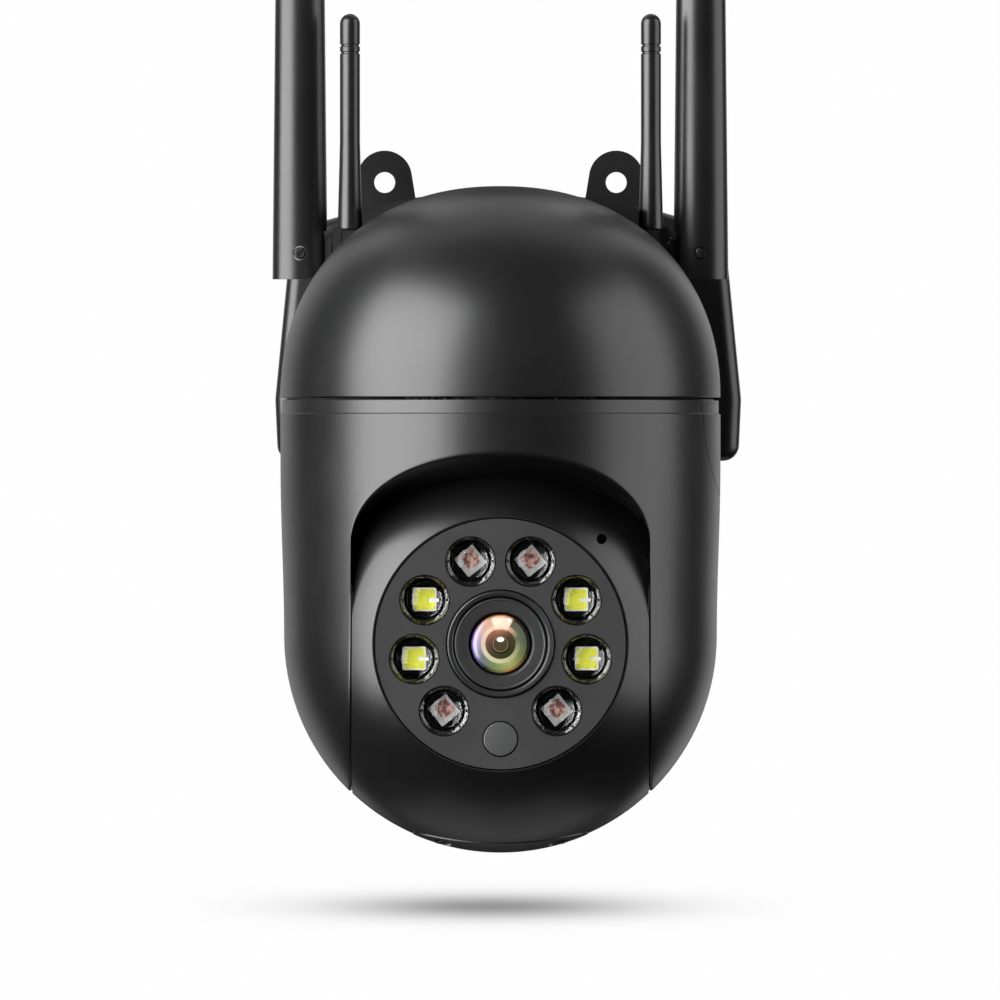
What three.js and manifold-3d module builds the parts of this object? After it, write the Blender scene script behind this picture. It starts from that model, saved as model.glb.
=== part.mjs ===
// A wall-mounted pan and tilt security camera, as a scene graph of separate parts.
// Millimetres, +Z up. The origin is on the wall, at the back face of the wall plate, level with the
// seam between the fixed dome cover and the turning pan body. The lens looks along -Y.
import * as THREE from "three";
import { mergeVertices } from "three/addons/utils/BufferGeometryUtils.js";
import Module from "manifold-3d";

const wasm = await Module();
wasm.setup();

// ---------------------------------------------------------------- driving dimensions
// Clearances
const GAP = 0.3; // between parts that are fixed to each other
const RUN = 0.6; // between parts that turn past each other
const EPS = 0.1; // how far a cutter runs past the face that it opens

// Facets
const FINE = 36; // round shells
const MID = 20; // rings, boards and motors
const COARSE = 10; // pins, holes and small lenses
const CORNER = 3; // each rounded corner of an outline

// Walls of the moulded shells
const WALL = 2.2;
const PAN_WALL = 2.8;

// Dome cover, seam and arm
const BODY_R = 48;
const DOME_H = 46.4;
const DOME_POWER = 2.17; // superellipse exponent of the dome's outline
const SEAM = 0.4;
const HOUSING_TO_BODY = 4.4; // air between the housing and the turning body
const ARM_INSET = 17.8; // arm's side, in from the dome's radius
const ARM_CROWN = DOME_H - 1;
const ARM_EDGE = DOME_H - 4.8;
const ARM_BOTTOM = 5;
const ARM_FRONT = 16; // start of the arm, behind the dome's axis
const ARM_HOLE_R = 8;
const ARM_HOLE_Z = 20;

// Wall plate and housing
const PLATE_T = 2.6;
const EAR_X = 25.45;
const EAR_HOLE_Z = DOME_H + 1.3;
const EAR_HOLE_R = 2.3;
const EAR_R = 6;
const EAR_RISE = 1; // ear arc centre above its hole
const EAR_SPLAY = THREE.MathUtils.degToRad(9.5);
const HOUSING_DEPTH = 23;
const HOUSING_HALF = 51.1; // at the seam's height, its widest
const HOUSING_SHIFT = 1.7; // the housing hooks on sideways and sits off centre
const HOUSING_TOP = DOME_H - 4.3;
const HOUSING_BOTTOM = -13.5;
const HOUSING_ROUND = 3;
const PLATE_INSET = 3.5; // plate edge inside the housing's outline
const PLATE_SCREW_X = 36;
const PLATE_SCREW_Z = -4;
const GLAND_R = 4.6;
const GLAND_BORE_R = 1.9;
const GLAND_Y = -14.5;

// Chassis in the dome
const FLOOR_Z = 4;
const FLOOR_T = 2.5;
const SEAL_W = 1.2;
const BOARD_Z = 24.5;
const BOARD_T = 1.6;
const POST_R = 2;

// Pan drive
const GEAR_MODULE = 1;
const RING_TEETH = 40;
const PINION_TEETH = 10;
const MESH_SLACK = 0.15; // extra centre distance
const GEAR_BASE = -1.6; // top of the turntable's plate, where the gear starts
const GEAR_H = 3.9;
const HUB_R = 8.5;
const HUB_BORE_R = 6;
const BEARING_W = 3.2;
const MOTOR_R = 11.8;
const MOTOR_H = 15;
const SHAFT_R = 2.5;

// Pan body
const BAND_INSET = 0.4; // slightly recessed band under the seam
const BAND_H = 3;
const PAN_STRAIGHT = 14.5; // height of the straight part, below it the wall draws in
const LOW_INSET = 0.8; // how far the wall has drawn in where the ball end starts
const BALL_INSET = 0.1; // the head's ball, inside the ball end
const BALL_TOP = 4.7; // top of the head's ball, below the seam
const ARCH_TOP = -12.3;
const ARCH_SHOULDER = -30.8;
const ARCH_FALL = 0.31; // fall of the opening's ceiling per mm going in
const ARCH_CEILING_T = 1.8;
const REAR_SLOT_RISE = 13.6; // rear edge of the slot, above the tilt axis
const TURNTABLE_T = 2.5;
const LEDGE_W = 1.6;
const LEDGE_H = 3.6;
const SIDE_COVER_R = 18.6;
const SIDE_COVER_Z = -2.7;
const SIDE_COVER_T = 1;
const CHEEK_T = 2;
const TRUNNION_R = 5;
const TRUNNION_FLANGE_R = 7.5;
const SPEAKER = { width: 24, height: 13.5, depth: 4 };
const GRILLE_SLOTS = 5;
const GRILLE_PITCH = 4;

// Head
const HEAD_PITCH = THREE.MathUtils.degToRad(2.4); // the lens looks slightly down at rest
const HEAD_SPLIT_Y = 14;
const PANEL_R = 27.25;
const PANEL_SIDE_W = 5.05; // head's flat side, out from the panel's edge
const PANEL_RIM_W = 0.65; // edge of the shell left round the panel
const PANEL_T = 1.8;
const SEAT_LIP = 1.6; // how far the seat reaches in under the panel
const LENS_HOLE_R = 11.9;
const TRIM_R = 11.6;
const TRIM_PROUD = 0.6;
const BARREL_R = 10;
const GLASS_R = 6.4;
const LED_EDGE_W = 8.2; // lamp centres, in from the panel's edge
const LED_BORE_R = 5.55;
const LED_COLLAR_T = 0.65;
const LED_LENS_R = 3.9;
const LED_ANGLES = [30, 70, 110, 150, 190, 230, 310, 350];
const WINDOW_R = 3.7;
const WINDOW_DROP = 20.7;
const MIC = { out: 4.36, angle: 45.9, hole: 1.1, radius: 2.6, depth: 3 };
const COVER_Y = -5.6;
const COVER_HALF_X = 19.2;
const COVER_HALF_Y = 10;
const COVER_T = 1.2;
const COVER_SCREW = { x: 12.4, y: -8, head: 2, shank: 0.9 };
const FILTER_SLOT_HALF = 6.6;
const TILT_MOTOR_X = [9, 24.5];
const TILT_MOTOR_Y = 8;

// Antennas
const ANTENNA_BACK = 29; // behind the dome's axis
const MOUNT_TOP = DOME_H - 9.6;
const TAB_TOP = MOUNT_TOP + 0.8;
const PIN_Z = MOUNT_TOP - 4.9;
const BLADE_INSET = 4.15; // blade's centre line, in from the dome's radius
const BLADE_HALF = 6.02;
const BLADE_DEPTH = 9;
const BLADE_BOTTOM = PIN_Z - 5.7;
const BLADE_LENGTH = 112;
const BLADE_TAPER = 0.0097; // per side and mm
const PIN_R = 1.3;
const FOOT_R = 5.9; // the foot's inner corner, round the pin
const TONGUE_T = 3.8;
const TONGUE_R = 4.2;
const SPIGOT_R = 2.6;
const FLANGE_T = 0.6;
const MOUNT_W = 4.1;
const TAB_OUT = 6.2; // outer face of the tab, out from the arm
const TAB_T = 1.8;
const ROD_INSET = 15.1;
const ROD_FORWARD = 7.6; // in front of the blade's centre plane
const ROD_R = 2.19;
const ROD_FOOT_R = 2.66;
const ROD_FLARE_TOP = 19.2;
const ROD_LENGTH = 47.1;
const ROD_GROOVES = [38.3, 39.9];

// ---------------------------------------------------------------- worked-out places
const PAN_AXIS_Y = -(PLATE_T + GAP + HOUSING_DEPTH + HOUSING_TO_BODY + BODY_R);
const BAND_R = BODY_R - BAND_INSET;
const PAN_LOW_R = BODY_R - LOW_INSET;
const BALL_R = PAN_LOW_R - BALL_INSET;
const TILT_Z = -(BALL_R + BALL_TOP);
const HEAD_HALF = PANEL_R + PANEL_SIDE_W;
const SLOT_HALF = HEAD_HALF + GAP;
const LED_CIRCLE_R = PANEL_R - LED_EDGE_W;
const FACE_Y = -Math.sqrt(BALL_R ** 2 - (PANEL_R + PANEL_RIM_W) ** 2);
const ARM_HALF = BODY_R - ARM_INSET;
const BLADE_X = BODY_R - BLADE_INSET;
const BODY_INNER_R = BODY_R - PAN_WALL;
const BAND_INNER_R = BAND_R - PAN_WALL;
const LOW_INNER_R = PAN_LOW_R - PAN_WALL;
const BALL_INNER_R = BALL_R - WALL;
const CHEEK_X = SLOT_HALF + GAP;
const CHEEK_OUT = CHEEK_X + CHEEK_T;

// ---------------------------------------------------------------- solids
function solid(geometry) {
  const plain = new THREE.BufferGeometry();
  plain.setAttribute("position", geometry.getAttribute("position"));
  plain.setIndex(geometry.index);
  const merged = mergeVertices(plain, 1e-4);
  return new wasm.Manifold(
    new wasm.Mesh({
      numProp: 3,
      vertProperties: new Float32Array(merged.attributes.position.array),
      triVerts: new Uint32Array(merged.index.array),
    }),
  );
}

function geometryOf(manifold) {
  const mesh = manifold.getMesh();
  const geometry = new THREE.BufferGeometry();
  geometry.setAttribute("position", new THREE.BufferAttribute(mesh.vertProperties, 3));
  geometry.setIndex(new THREE.BufferAttribute(mesh.triVerts, 1));
  const faceted = geometry.toNonIndexed();
  faceted.computeVertexNormals();
  return faceted;
}

function box(x, y, z) {
  const geometry = new THREE.BoxGeometry(x[1] - x[0], y[1] - y[0], z[1] - z[0]);
  geometry.translate((x[0] + x[1]) / 2, (y[0] + y[1]) / 2, (z[0] + z[1]) / 2);
  return solid(geometry);
}

const wide = (half) => [-half, half];

// Turned solid: a profile of [radius, height] pairs, anticlockwise, about the named axis through at.
function turned(profile, axis, segments, at = [0, 0, 0]) {
  const points = profile.map(([radius, height]) => new THREE.Vector2(radius, height));
  if (profile[0][0] > 0) points.push(points[0].clone());
  const geometry = new THREE.LatheGeometry(points, segments);
  if (axis === "x") geometry.rotateZ(-Math.PI / 2);
  if (axis === "z") geometry.rotateX(Math.PI / 2);
  geometry.translate(...at);
  return solid(geometry);
}

function rod(radius, low, high, axis, segments, at) {
  return turned([[0, low], [radius, low], [radius, high], [0, high]], axis, segments, at);
}

function tube(inner, outer, low, high, axis, segments, at) {
  return turned([[inner, low], [outer, low], [outer, high], [inner, high]], axis, segments, at);
}

// Ball with its poles on the tilt axis.
function ball(radius) {
  return solid(new THREE.SphereGeometry(radius, FINE, FINE / 2).rotateZ(Math.PI / 2));
}

// Prism of a closed outline. Along x the outline is in (y, z), along y in (x, z), along z in (x, y).
function prism(shape, low, high, axis, curveSegments = CORNER) {
  const geometry = new THREE.ExtrudeGeometry(shape, {
    depth: high - low,
    bevelEnabled: false,
    curveSegments,
  });
  geometry.translate(0, 0, axis === "y" ? -high : low);
  return solid(turnTo(geometry, axis));
}

function turnTo(geometry, axis) {
  const [x, y, z] = [0, 1, 2].map((i) => new THREE.Vector3().setComponent(i, 1));
  if (axis === "x") geometry.applyMatrix4(new THREE.Matrix4().makeBasis(y, z, x));
  if (axis === "y") geometry.applyMatrix4(new THREE.Matrix4().makeBasis(x, z, y.negate()));
  return geometry;
}

// Solid through like outlines (lists of Vector2, anticlockwise) at rising levels.
function loft(outlines, levels, axis) {
  const count = outlines[0].length;
  const corners = outlines.flatMap((outline, i) => outline.flatMap((p) => [p.x, p.y, levels[i]]));
  const faces = [];
  for (let ring = 0; ring < outlines.length - 1; ring++) {
    for (let i = 0; i < count; i++) {
      const a = ring * count + i;
      const b = ring * count + ((i + 1) % count);
      faces.push(a, b, b + count, a, b + count, a + count);
    }
  }
  const last = (outlines.length - 1) * count;
  for (const [a, b, c] of THREE.ShapeUtils.triangulateShape(outlines[0], [])) faces.push(c, b, a);
  for (const [a, b, c] of THREE.ShapeUtils.triangulateShape(outlines.at(-1), [])) {
    faces.push(last + a, last + b, last + c);
  }
  const geometry = new THREE.BufferGeometry();
  geometry.setAttribute("position", new THREE.Float32BufferAttribute(corners, 3));
  geometry.setIndex(faces);
  return solid(turnTo(geometry, axis));
}

// Closed outline with rounded corners, from [x, y, radius] corners going anticlockwise.
function roundedShape(corners) {
  const shape = new THREE.Shape();
  corners.forEach(([x, y, radius], i) => {
    const corner = new THREE.Vector2(x, y);
    const before = new THREE.Vector2(...corners.at(i - 1).slice(0, 2)).sub(corner).normalize();
    const after = new THREE.Vector2(...corners[(i + 1) % corners.length].slice(0, 2)).sub(corner).normalize();
    const start = corner.clone().addScaledVector(before, radius);
    const end = corner.clone().addScaledVector(after, radius);
    if (i === 0) shape.moveTo(start.x, start.y);
    else shape.lineTo(start.x, start.y);
    if (radius > 0) shape.quadraticCurveTo(x, y, end.x, end.y);
  });
  shape.closePath();
  return shape;
}

function rectangle(halfWidth, halfHeight, radius, centre = [0, 0]) {
  const [x, y] = centre;
  return roundedShape([
    [x + halfWidth, y - halfHeight, radius],
    [x + halfWidth, y + halfHeight, radius],
    [x - halfWidth, y + halfHeight, radius],
    [x - halfWidth, y - halfHeight, radius],
  ]);
}

function ellipse(halfX, halfY, centre) {
  return new THREE.Shape().absellipse(...centre, halfX, halfY, 0, 2 * Math.PI);
}

// ---------------------------------------------------------------- scene graph
const FINISH = {
  black: { color: 0x1b1b1c, roughness: 0.38, metalness: 0 },
  panel: { color: 0x2e2f31, roughness: 0.45, metalness: 0 },
  rubber: { color: 0x111111, roughness: 0.9, metalness: 0 },
  steel: { color: 0xb8bbbe, roughness: 0.3, metalness: 1 },
  board: { color: 0x1d5a34, roughness: 0.5, metalness: 0 },
  nylon: { color: 0xe6e2d6, roughness: 0.5, metalness: 0 },
  clear: { color: 0xdfe8ee, roughness: 0.05, metalness: 0 },
  filter: { color: 0x8fc7d8, roughness: 0.05, metalness: 0 },
};

function group(parent, place = {}) {
  const made = new THREE.Group();
  made.position.set(place.x ?? 0, place.y ?? 0, place.z ?? 0);
  made.rotation.x = place.pitch ?? 0;
  made.scale.x = place.mirror ? -1 : 1;
  parent.add(made);
  return made;
}

function node(parent, name, finish, manifold) {
  const mesh = new THREE.Mesh(geometryOf(manifold), new THREE.MeshStandardMaterial(FINISH[finish]));
  mesh.name = name;
  parent.add(mesh);
}

const camera = new THREE.Group();
const fixed = group(camera, { y: PAN_AXIS_Y });
const pan = group(camera, { y: PAN_AXIS_Y });
const head = group(camera, { y: PAN_AXIS_Y, z: TILT_Z, pitch: HEAD_PITCH });

// ---------------------------------------------------------------- wall plate and housing
function housingCorners(inset) {
  const side = (half) => half - inset;
  const low = HOUSING_BOTTOM + inset;
  const top = HOUSING_TOP - inset;
  const right = [
    [side(HOUSING_HALF - 0.6), low, 3.5],
    [side(HOUSING_HALF), 0, 0],
    [side(HOUSING_HALF - 2.5), 25.8, 0],
    [side(HOUSING_HALF - 3.7), top - 5, 5],
    [side(HOUSING_HALF - 21), top, 3],
  ];
  const left = right.map(([x, z, radius]) => [-x, z, radius]).reverse();
  return [...right, ...left].map(([x, z, radius]) => [x + HOUSING_SHIFT, z, radius]);
}

const housingOutline = (inset) => roundedShape(housingCorners(inset));

function ear() {
  const centre = EAR_HOLE_Z + EAR_RISE;
  const shape = new THREE.Shape();
  const foot = EAR_R + (centre - HOUSING_TOP + 6) * Math.tan(EAR_SPLAY);
  shape.moveTo(-foot, HOUSING_TOP - 6);
  shape.lineTo(foot, HOUSING_TOP - 6);
  shape.absarc(0, centre, EAR_R, EAR_SPLAY, Math.PI - EAR_SPLAY);
  shape.closePath();
  const hole = rod(EAR_HOLE_R, -PLATE_T - EPS, EPS, "y", COARSE, [0, 0, EAR_HOLE_Z]);
  return prism(shape, -PLATE_T, 0, "y", COARSE).subtract(hole);
}

function wallPlate() {
  const plate = prism(housingOutline(PLATE_INSET), -PLATE_T, 0, "y");
  const ears = [-1, 1].map((side) => ear().translate([side * EAR_X, 0, 0]));
  const holes = [-1, 1].map((side) => plateScrew(GAP).translate([side * PLATE_SCREW_X, 0, 0]));
  return plate.add(ears[0]).add(ears[1]).subtract(holes[0]).subtract(holes[1]);
}

// Pan-head screw from the back of the plate into the housing; room widens it to its hole.
function plateScrew(room) {
  const head = -1.6 - room;
  const profile = [
    [0, -12 - room],
    [1.4 + room, -12 - room],
    [1.4 + room, head],
    [2.8 + room, head],
    [2.8 + room, room ? EPS : -GAP],
    [0, room ? EPS : -GAP],
  ];
  return turned(profile, "y", COARSE, [0, 0, PLATE_SCREW_Z]);
}

function bracketHousing() {
  const front = -(PLATE_T + GAP + HOUSING_DEPTH);
  const back = -(PLATE_T + GAP);
  const levels = [-back, -front - HOUSING_ROUND, -front - HOUSING_ROUND * 0.3, -front];
  const insets = [0, 0, HOUSING_ROUND * 0.3, HOUSING_ROUND];
  const sections = insets.map((inset) => housingOutline(inset).getPoints(CORNER));
  let made = loft(sections, levels, "y");
  made = made.subtract(prism(housingOutline(WALL), front + WALL, 0, "y"));
  for (const side of [-1, 1]) {
    const at = [side * PLATE_SCREW_X, 0, PLATE_SCREW_Z];
    made = made.add(rod(3.6, front + WALL - EPS, back, "y", COARSE, at));
    made = made.subtract(plateScrew(GAP).translate([side * PLATE_SCREW_X, 0, 0]));
  }
  const channel = rectangle(ARM_HALF - WALL, (ARM_EDGE - ARM_BOTTOM) / 2 - WALL, 3, [
    0,
    (ARM_EDGE + ARM_BOTTOM) / 2,
  ]);
  const glandHole = rod(GLAND_R + GAP, HOUSING_BOTTOM - EPS, HOUSING_BOTTOM + WALL + EPS, "z", COARSE, [
    0,
    GLAND_Y,
    0,
  ]);
  return made.subtract(prism(channel, front - EPS, front + WALL + EPS, "y")).subtract(glandHole);
}

function cableGland() {
  const inside = HOUSING_BOTTOM + WALL + GAP;
  const outside = HOUSING_BOTTOM - GAP;
  const profile = [
    [GLAND_BORE_R, outside - 3.5],
    [GLAND_R - 1, outside - 3.5],
    [GLAND_R + 2, outside - 1.6],
    [GLAND_R + 2, outside],
    [GLAND_R, outside],
    [GLAND_R, inside],
    [GLAND_R + 1.6, inside],
    [GLAND_R + 1.6, inside + 1.6],
    [GLAND_BORE_R, inside + 1.6],
  ];
  return turned(profile, "z", COARSE, [0, GLAND_Y, 0]);
}

node(camera, "wall_plate", "black", wallPlate());
for (const [side, name] of [[-1, "left"], [1, "right"]]) {
  node(camera, `plate_screw_${name}`, "steel", plateScrew(0).translate([side * PLATE_SCREW_X, 0, 0]));
}
node(camera, "bracket_housing", "black", bracketHousing());
node(camera, "cable_gland", "rubber", cableGland());

// ---------------------------------------------------------------- dome cover and arm
function domeSolid(grow, floor) {
  const radius = BODY_R + grow;
  const height = DOME_H + grow;
  const steps = 8;
  const start = floor > 0 ? Math.asin((floor / height) ** (DOME_POWER / 2)) : 0;
  const profile = [[0, floor]];
  for (let i = 0; i < steps; i++) {
    const t = start + ((Math.PI / 2 - start) * i) / steps;
    const z = i ? height * Math.sin(t) ** (2 / DOME_POWER) : floor;
    profile.push([radius * Math.cos(t) ** (2 / DOME_POWER), z]);
  }
  profile.push([0, height]);
  return turned(profile, "z", FINE);
}

function domeCover() {
  const floor = SEAM / 2;
  const hollow = domeSolid(-WALL, floor - EPS);
  const cableHole = rod(ARM_HOLE_R, 0, BODY_R, "y", COARSE, [0, 0, ARM_HOLE_Z]);
  return domeSolid(0, floor).subtract(hollow).subtract(cableHole);
}

// Hollow neck that carries the dome; its front edge follows the dome.
function bracketArm() {
  const back = -PAN_AXIS_Y - (PLATE_T + GAP + HOUSING_DEPTH + GAP);
  const outline = (inset) => {
    const half = ARM_HALF - inset;
    const crown = ARM_CROWN - inset;
    const edge = ARM_EDGE - inset;
    const shape = new THREE.Shape();
    shape.moveTo(-half, ARM_BOTTOM + inset);
    shape.lineTo(half, ARM_BOTTOM + inset);
    shape.lineTo(half, edge);
    shape.quadraticCurveTo(0, 2 * crown - edge, -half, edge);
    shape.closePath();
    return shape;
  };
  const inner = prism(outline(WALL), ARM_FRONT - EPS, back + EPS, "y", COARSE);
  const duct = prism(outline(0), ARM_FRONT, back, "y", COARSE).subtract(inner);
  return duct.subtract(domeSolid(GAP, -EPS));
}

node(fixed, "dome_cover", "black", domeCover());
node(fixed, "bracket_arm", "black", bracketArm());

// ---------------------------------------------------------------- chassis in the dome
const MESH_DISTANCE = (GEAR_MODULE * (RING_TEETH + PINION_TEETH)) / 2 + MESH_SLACK;
const BEARING_IN = HUB_R + GAP;
const BEARING_OUT = BEARING_IN + BEARING_W;
const FLOOR_TOP = FLOOR_Z + FLOOR_T;
const SEAL_OUT = BODY_R - WALL - 0.7;
const FLOOR_R = SEAL_OUT - SEAL_W - GAP;
const POSTS = [[-22, -12], [22, -12], [-22, 18], [22, 18]];

function domeFloor() {
  const pinionHole = rod((GEAR_MODULE * PINION_TEETH) / 2 + 2, FLOOR_Z - EPS, FLOOR_TOP + EPS, "z", COARSE, [
    0,
    -MESH_DISTANCE,
    0,
  ]);
  let made = tube(BEARING_OUT + GAP, FLOOR_R, FLOOR_Z, FLOOR_TOP, "z", FINE).subtract(pinionHole);
  for (const [x, y] of POSTS) {
    made = made.add(rod(POST_R, FLOOR_TOP - EPS, BOARD_Z - GAP, "z", COARSE, [x, y, 0]));
  }
  return made;
}

function mainBoard() {
  const top = BOARD_Z + BOARD_T;
  return prism(rectangle(26, 22, 3, [0, 2]), BOARD_Z, top, "z")
    .add(box([-9, 5], [-6, 8], [top - EPS, top + 1.4]))
    .add(box([9, 22], [-8, 8], [top - EPS, top + 2.2]))
    .add(box([-20, -14], [10, 20], [top - EPS, top + 3]));
}

function motorCan(low, high, axis, at) {
  return rod(MOTOR_R, low, high, axis, MID, at);
}

function panMotor() {
  const low = FLOOR_TOP + GAP;
  const at = [0, -MESH_DISTANCE, 0];
  const ears = box(wide(21), wide(3.5), [low, low + 1]).translate(at);
  return motorCan(low, low + MOTOR_H, "z", at).add(ears);
}

node(fixed, "dome_floor", "black", domeFloor());
node(fixed, "dome_seal", "rubber", tube(SEAL_OUT - SEAL_W, SEAL_OUT, FLOOR_Z, FLOOR_TOP, "z", FINE));
node(fixed, "main_board", "board", mainBoard());
node(fixed, "pan_motor", "steel", panMotor());
node(fixed, "pan_bearing", "steel", tube(BEARING_IN, BEARING_OUT, FLOOR_Z - GAP, FLOOR_TOP + GAP, "z", MID));

// ---------------------------------------------------------------- pan drive
// Straight-sided gear outline; the first tooth points along +X turned by the phase.
function gear(teeth, phase) {
  const pitchR = (GEAR_MODULE * teeth) / 2;
  const tip = pitchR + 0.8 * GEAR_MODULE;
  const root = pitchR - 1.1 * GEAR_MODULE;
  const step = (2 * Math.PI) / teeth;
  const corners = [
    [root, -0.3],
    [tip, -0.11],
    [tip, 0.11],
    [root, 0.3],
  ];
  const points = [];
  for (let i = 0; i < teeth; i++) {
    for (const [radius, share] of corners) {
      const angle = phase + (i + share) * step;
      points.push(new THREE.Vector2(radius * Math.cos(angle), radius * Math.sin(angle)));
    }
  }
  return new THREE.Shape(points);
}

// The pinion is in front of the ring gear, so a gap of the pinion faces a tooth of the ring.
const TOWARDS_PINION = -Math.PI / 2;

function panPinion() {
  const low = GEAR_BASE + GAP;
  const high = GEAR_BASE + GEAR_H;
  const phase = Math.PI / 2 + Math.PI / PINION_TEETH;
  const shaft = rod(SHAFT_R, high - EPS, FLOOR_TOP, "z", COARSE);
  return prism(gear(PINION_TEETH, phase), low, high, "z").add(shaft).translate([0, -MESH_DISTANCE, 0]);
}

function panTurntable() {
  const low = GEAR_BASE - TURNTABLE_T;
  const wires = box([-BODY_INNER_R, 0], wide(5), [low - EPS, low + 1.5]);
  const inBody = rod(BAND_INNER_R - GAP - LEDGE_W - 1, low - 1, low + 2, "z", MID);
  return rod(BAND_INNER_R - GAP, low, GEAR_BASE, "z", FINE)
    .add(prism(gear(RING_TEETH, TOWARDS_PINION), GEAR_BASE - EPS, GEAR_BASE + GEAR_H, "z"))
    .add(rod(HUB_R, GEAR_BASE, FLOOR_TOP + 3.2, "z", MID))
    .subtract(rod(HUB_BORE_R, low - EPS, FLOOR_TOP + 4, "z", MID))
    .subtract(wires.intersect(inBody));
}

node(pan, "pan_turntable", "nylon", panTurntable());
node(camera, "pan_pinion", "nylon", panPinion().translate([0, PAN_AXIS_Y, 0]));
const retainerLow = FLOOR_TOP + 2 * GAP;
node(pan, "pan_retainer", "steel", tube(BEARING_IN, BEARING_OUT + 0.6, retainerLow, retainerLow + 2, "z", MID));

// ---------------------------------------------------------------- pan body
// The body's outline, moved in by inset: ball end, drawn-in wall, straight wall and band.
function panSolid(inset, top) {
  const steps = 9;
  const profile = [];
  for (let i = 0; i <= steps; i++) {
    const t = (Math.PI / 2) * (i / steps);
    const radius = PAN_LOW_R - inset;
    profile.push([i ? radius * Math.sin(t) : 0, TILT_Z - radius * Math.cos(t)]);
  }
  profile.push([BODY_R - inset, -PAN_STRAIGHT]);
  profile.push([BODY_R - inset, -BAND_H - SEAM / 2]);
  profile.push([BAND_R - inset, -BAND_H - SEAM / 2]);
  profile.push([BAND_R - inset, top]);
  profile.push([0, top]);
  return turned(profile, "z", FINE);
}

// Outline of the front opening: straight sides, then an arch. grow widens the arch upwards.
function archOutline(top, shoulder, grow) {
  const low = TILT_Z + REAR_SLOT_RISE - 1;
  const half = SLOT_HALF;
  const path = new THREE.Shape();
  path.moveTo(half, low);
  path.lineTo(half, shoulder + grow);
  path.bezierCurveTo(half - 1.1, shoulder + 10.3 + grow, 20, top + grow, 0, top + grow);
  path.bezierCurveTo(-20, top + grow, -(half - 1.1), shoulder + 10.3 + grow, -half, shoulder + grow);
  path.lineTo(-half, low);
  return path.getPoints(12);
}

function archPassage(grow) {
  const front = BODY_R + 1;
  const deep = BALL_R * 0.6;
  const fall = (depth) => ARCH_TOP - ARCH_FALL * (BODY_R - depth);
  const outlines = [deep, front].map((depth) => {
    const top = fall(depth);
    return archOutline(top, ARCH_SHOULDER + (top - ARCH_TOP) * 0.6, grow);
  });
  return loft(outlines, [deep, front], "y");
}

function sideCoverOutline(grow) {
  const radius = SIDE_COVER_R + grow;
  const top = -SEAM / 2 - GAP + grow * 2;
  const shape = new THREE.Shape();
  shape.moveTo(-radius, SIDE_COVER_Z);
  shape.absarc(0, SIDE_COVER_Z, radius, Math.PI, 2 * Math.PI);
  shape.lineTo(radius, top);
  shape.lineTo(-radius, top);
  shape.closePath();
  return shape;
}

function sideCover(grow, depth) {
  const skin = panSolid(0, -SEAM / 2).subtract(rod(BAND_R - depth, TILT_Z, 1, "z", FINE));
  return skin.intersect(prism(sideCoverOutline(grow), 0, BODY_R + 1, "x", COARSE));
}

function panShell() {
  const reach = BODY_R + 1;
  const slotTop = TILT_Z + REAR_SLOT_RISE;
  const ledgeTop = GEAR_BASE - TURNTABLE_T - GAP;
  const ledge = tube(BAND_INNER_R - LEDGE_W, BAND_R - 1, ledgeTop - LEDGE_H, ledgeTop, "z", FINE);
  const ceiling = archPassage(ARCH_CEILING_T).intersect(panSolid(PAN_WALL / 2, -SEAM));
  const room = ball(BALL_R + RUN).intersect(box(wide(SLOT_HALF), wide(reach), wide(reach)));
  let made = panSolid(0, -SEAM / 2).subtract(panSolid(PAN_WALL, 1)).add(ledge).add(ceiling);
  made = made.subtract(archPassage(0));
  made = made.subtract(box(wide(SLOT_HALF), wide(reach), [TILT_Z - reach, slotTop]));
  made = made.subtract(room.translate([0, 0, TILT_Z]));
  made = made.subtract(sideCover(GAP, SIDE_COVER_T + GAP));
  for (let i = 0; i < GRILLE_SLOTS; i++) {
    const x = (i - (GRILLE_SLOTS - 1) / 2) * GRILLE_PITCH;
    made = made.subtract(box([x - 0.8, x + 0.8], [BODY_INNER_R - 2, reach], [-20, -10]));
  }
  return made;
}

// Inner side wall of one yoke arm, which carries the tilt trunnion.
function yokeCheek() {
  const halfTop = Math.sqrt((BAND_INNER_R - LEDGE_W) ** 2 - CHEEK_OUT ** 2) - 2 * GAP;
  const radius = Math.min(Math.sqrt(LOW_INNER_R ** 2 - CHEEK_OUT ** 2), halfTop) - GAP;
  const top = GEAR_BASE - TURNTABLE_T - LEDGE_H - 2 * GAP - TILT_Z;
  const shape = new THREE.Shape();
  shape.moveTo(radius, top);
  shape.lineTo(-radius, top);
  shape.absarc(0, 0, radius, Math.PI, 2 * Math.PI);
  shape.closePath();
  const hole = rod(TRUNNION_R + GAP, CHEEK_X - EPS, CHEEK_OUT + EPS, "x", COARSE);
  return prism(shape, CHEEK_X, CHEEK_OUT, "x", COARSE).subtract(hole);
}

const TRUNNION_IN = HEAD_HALF - WALL - 1.2;
const trunnionProfile = (bore) => [
  [bore, TRUNNION_IN],
  [TRUNNION_R, TRUNNION_IN],
  [TRUNNION_R, CHEEK_OUT + GAP],
  [TRUNNION_FLANGE_R, CHEEK_OUT + GAP],
  [TRUNNION_FLANGE_R, CHEEK_OUT + GAP + 2],
  [bore, CHEEK_OUT + GAP + 2],
];

function tiltShaft() {
  return turned(trunnionProfile(0), "x", MID).add(
    rod(SHAFT_R, TILT_MOTOR_X[1] - 2, TRUNNION_IN + EPS, "x", COARSE),
  );
}

function speaker() {
  const back = Math.sqrt(BODY_INNER_R ** 2 - (SPEAKER.width / 2) ** 2) - 2 * GAP;
  const top = GEAR_BASE - TURNTABLE_T - LEDGE_H - 2 * GAP;
  return box(wide(SPEAKER.width / 2), [back - SPEAKER.depth, back], [top - SPEAKER.height, top]);
}

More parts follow.
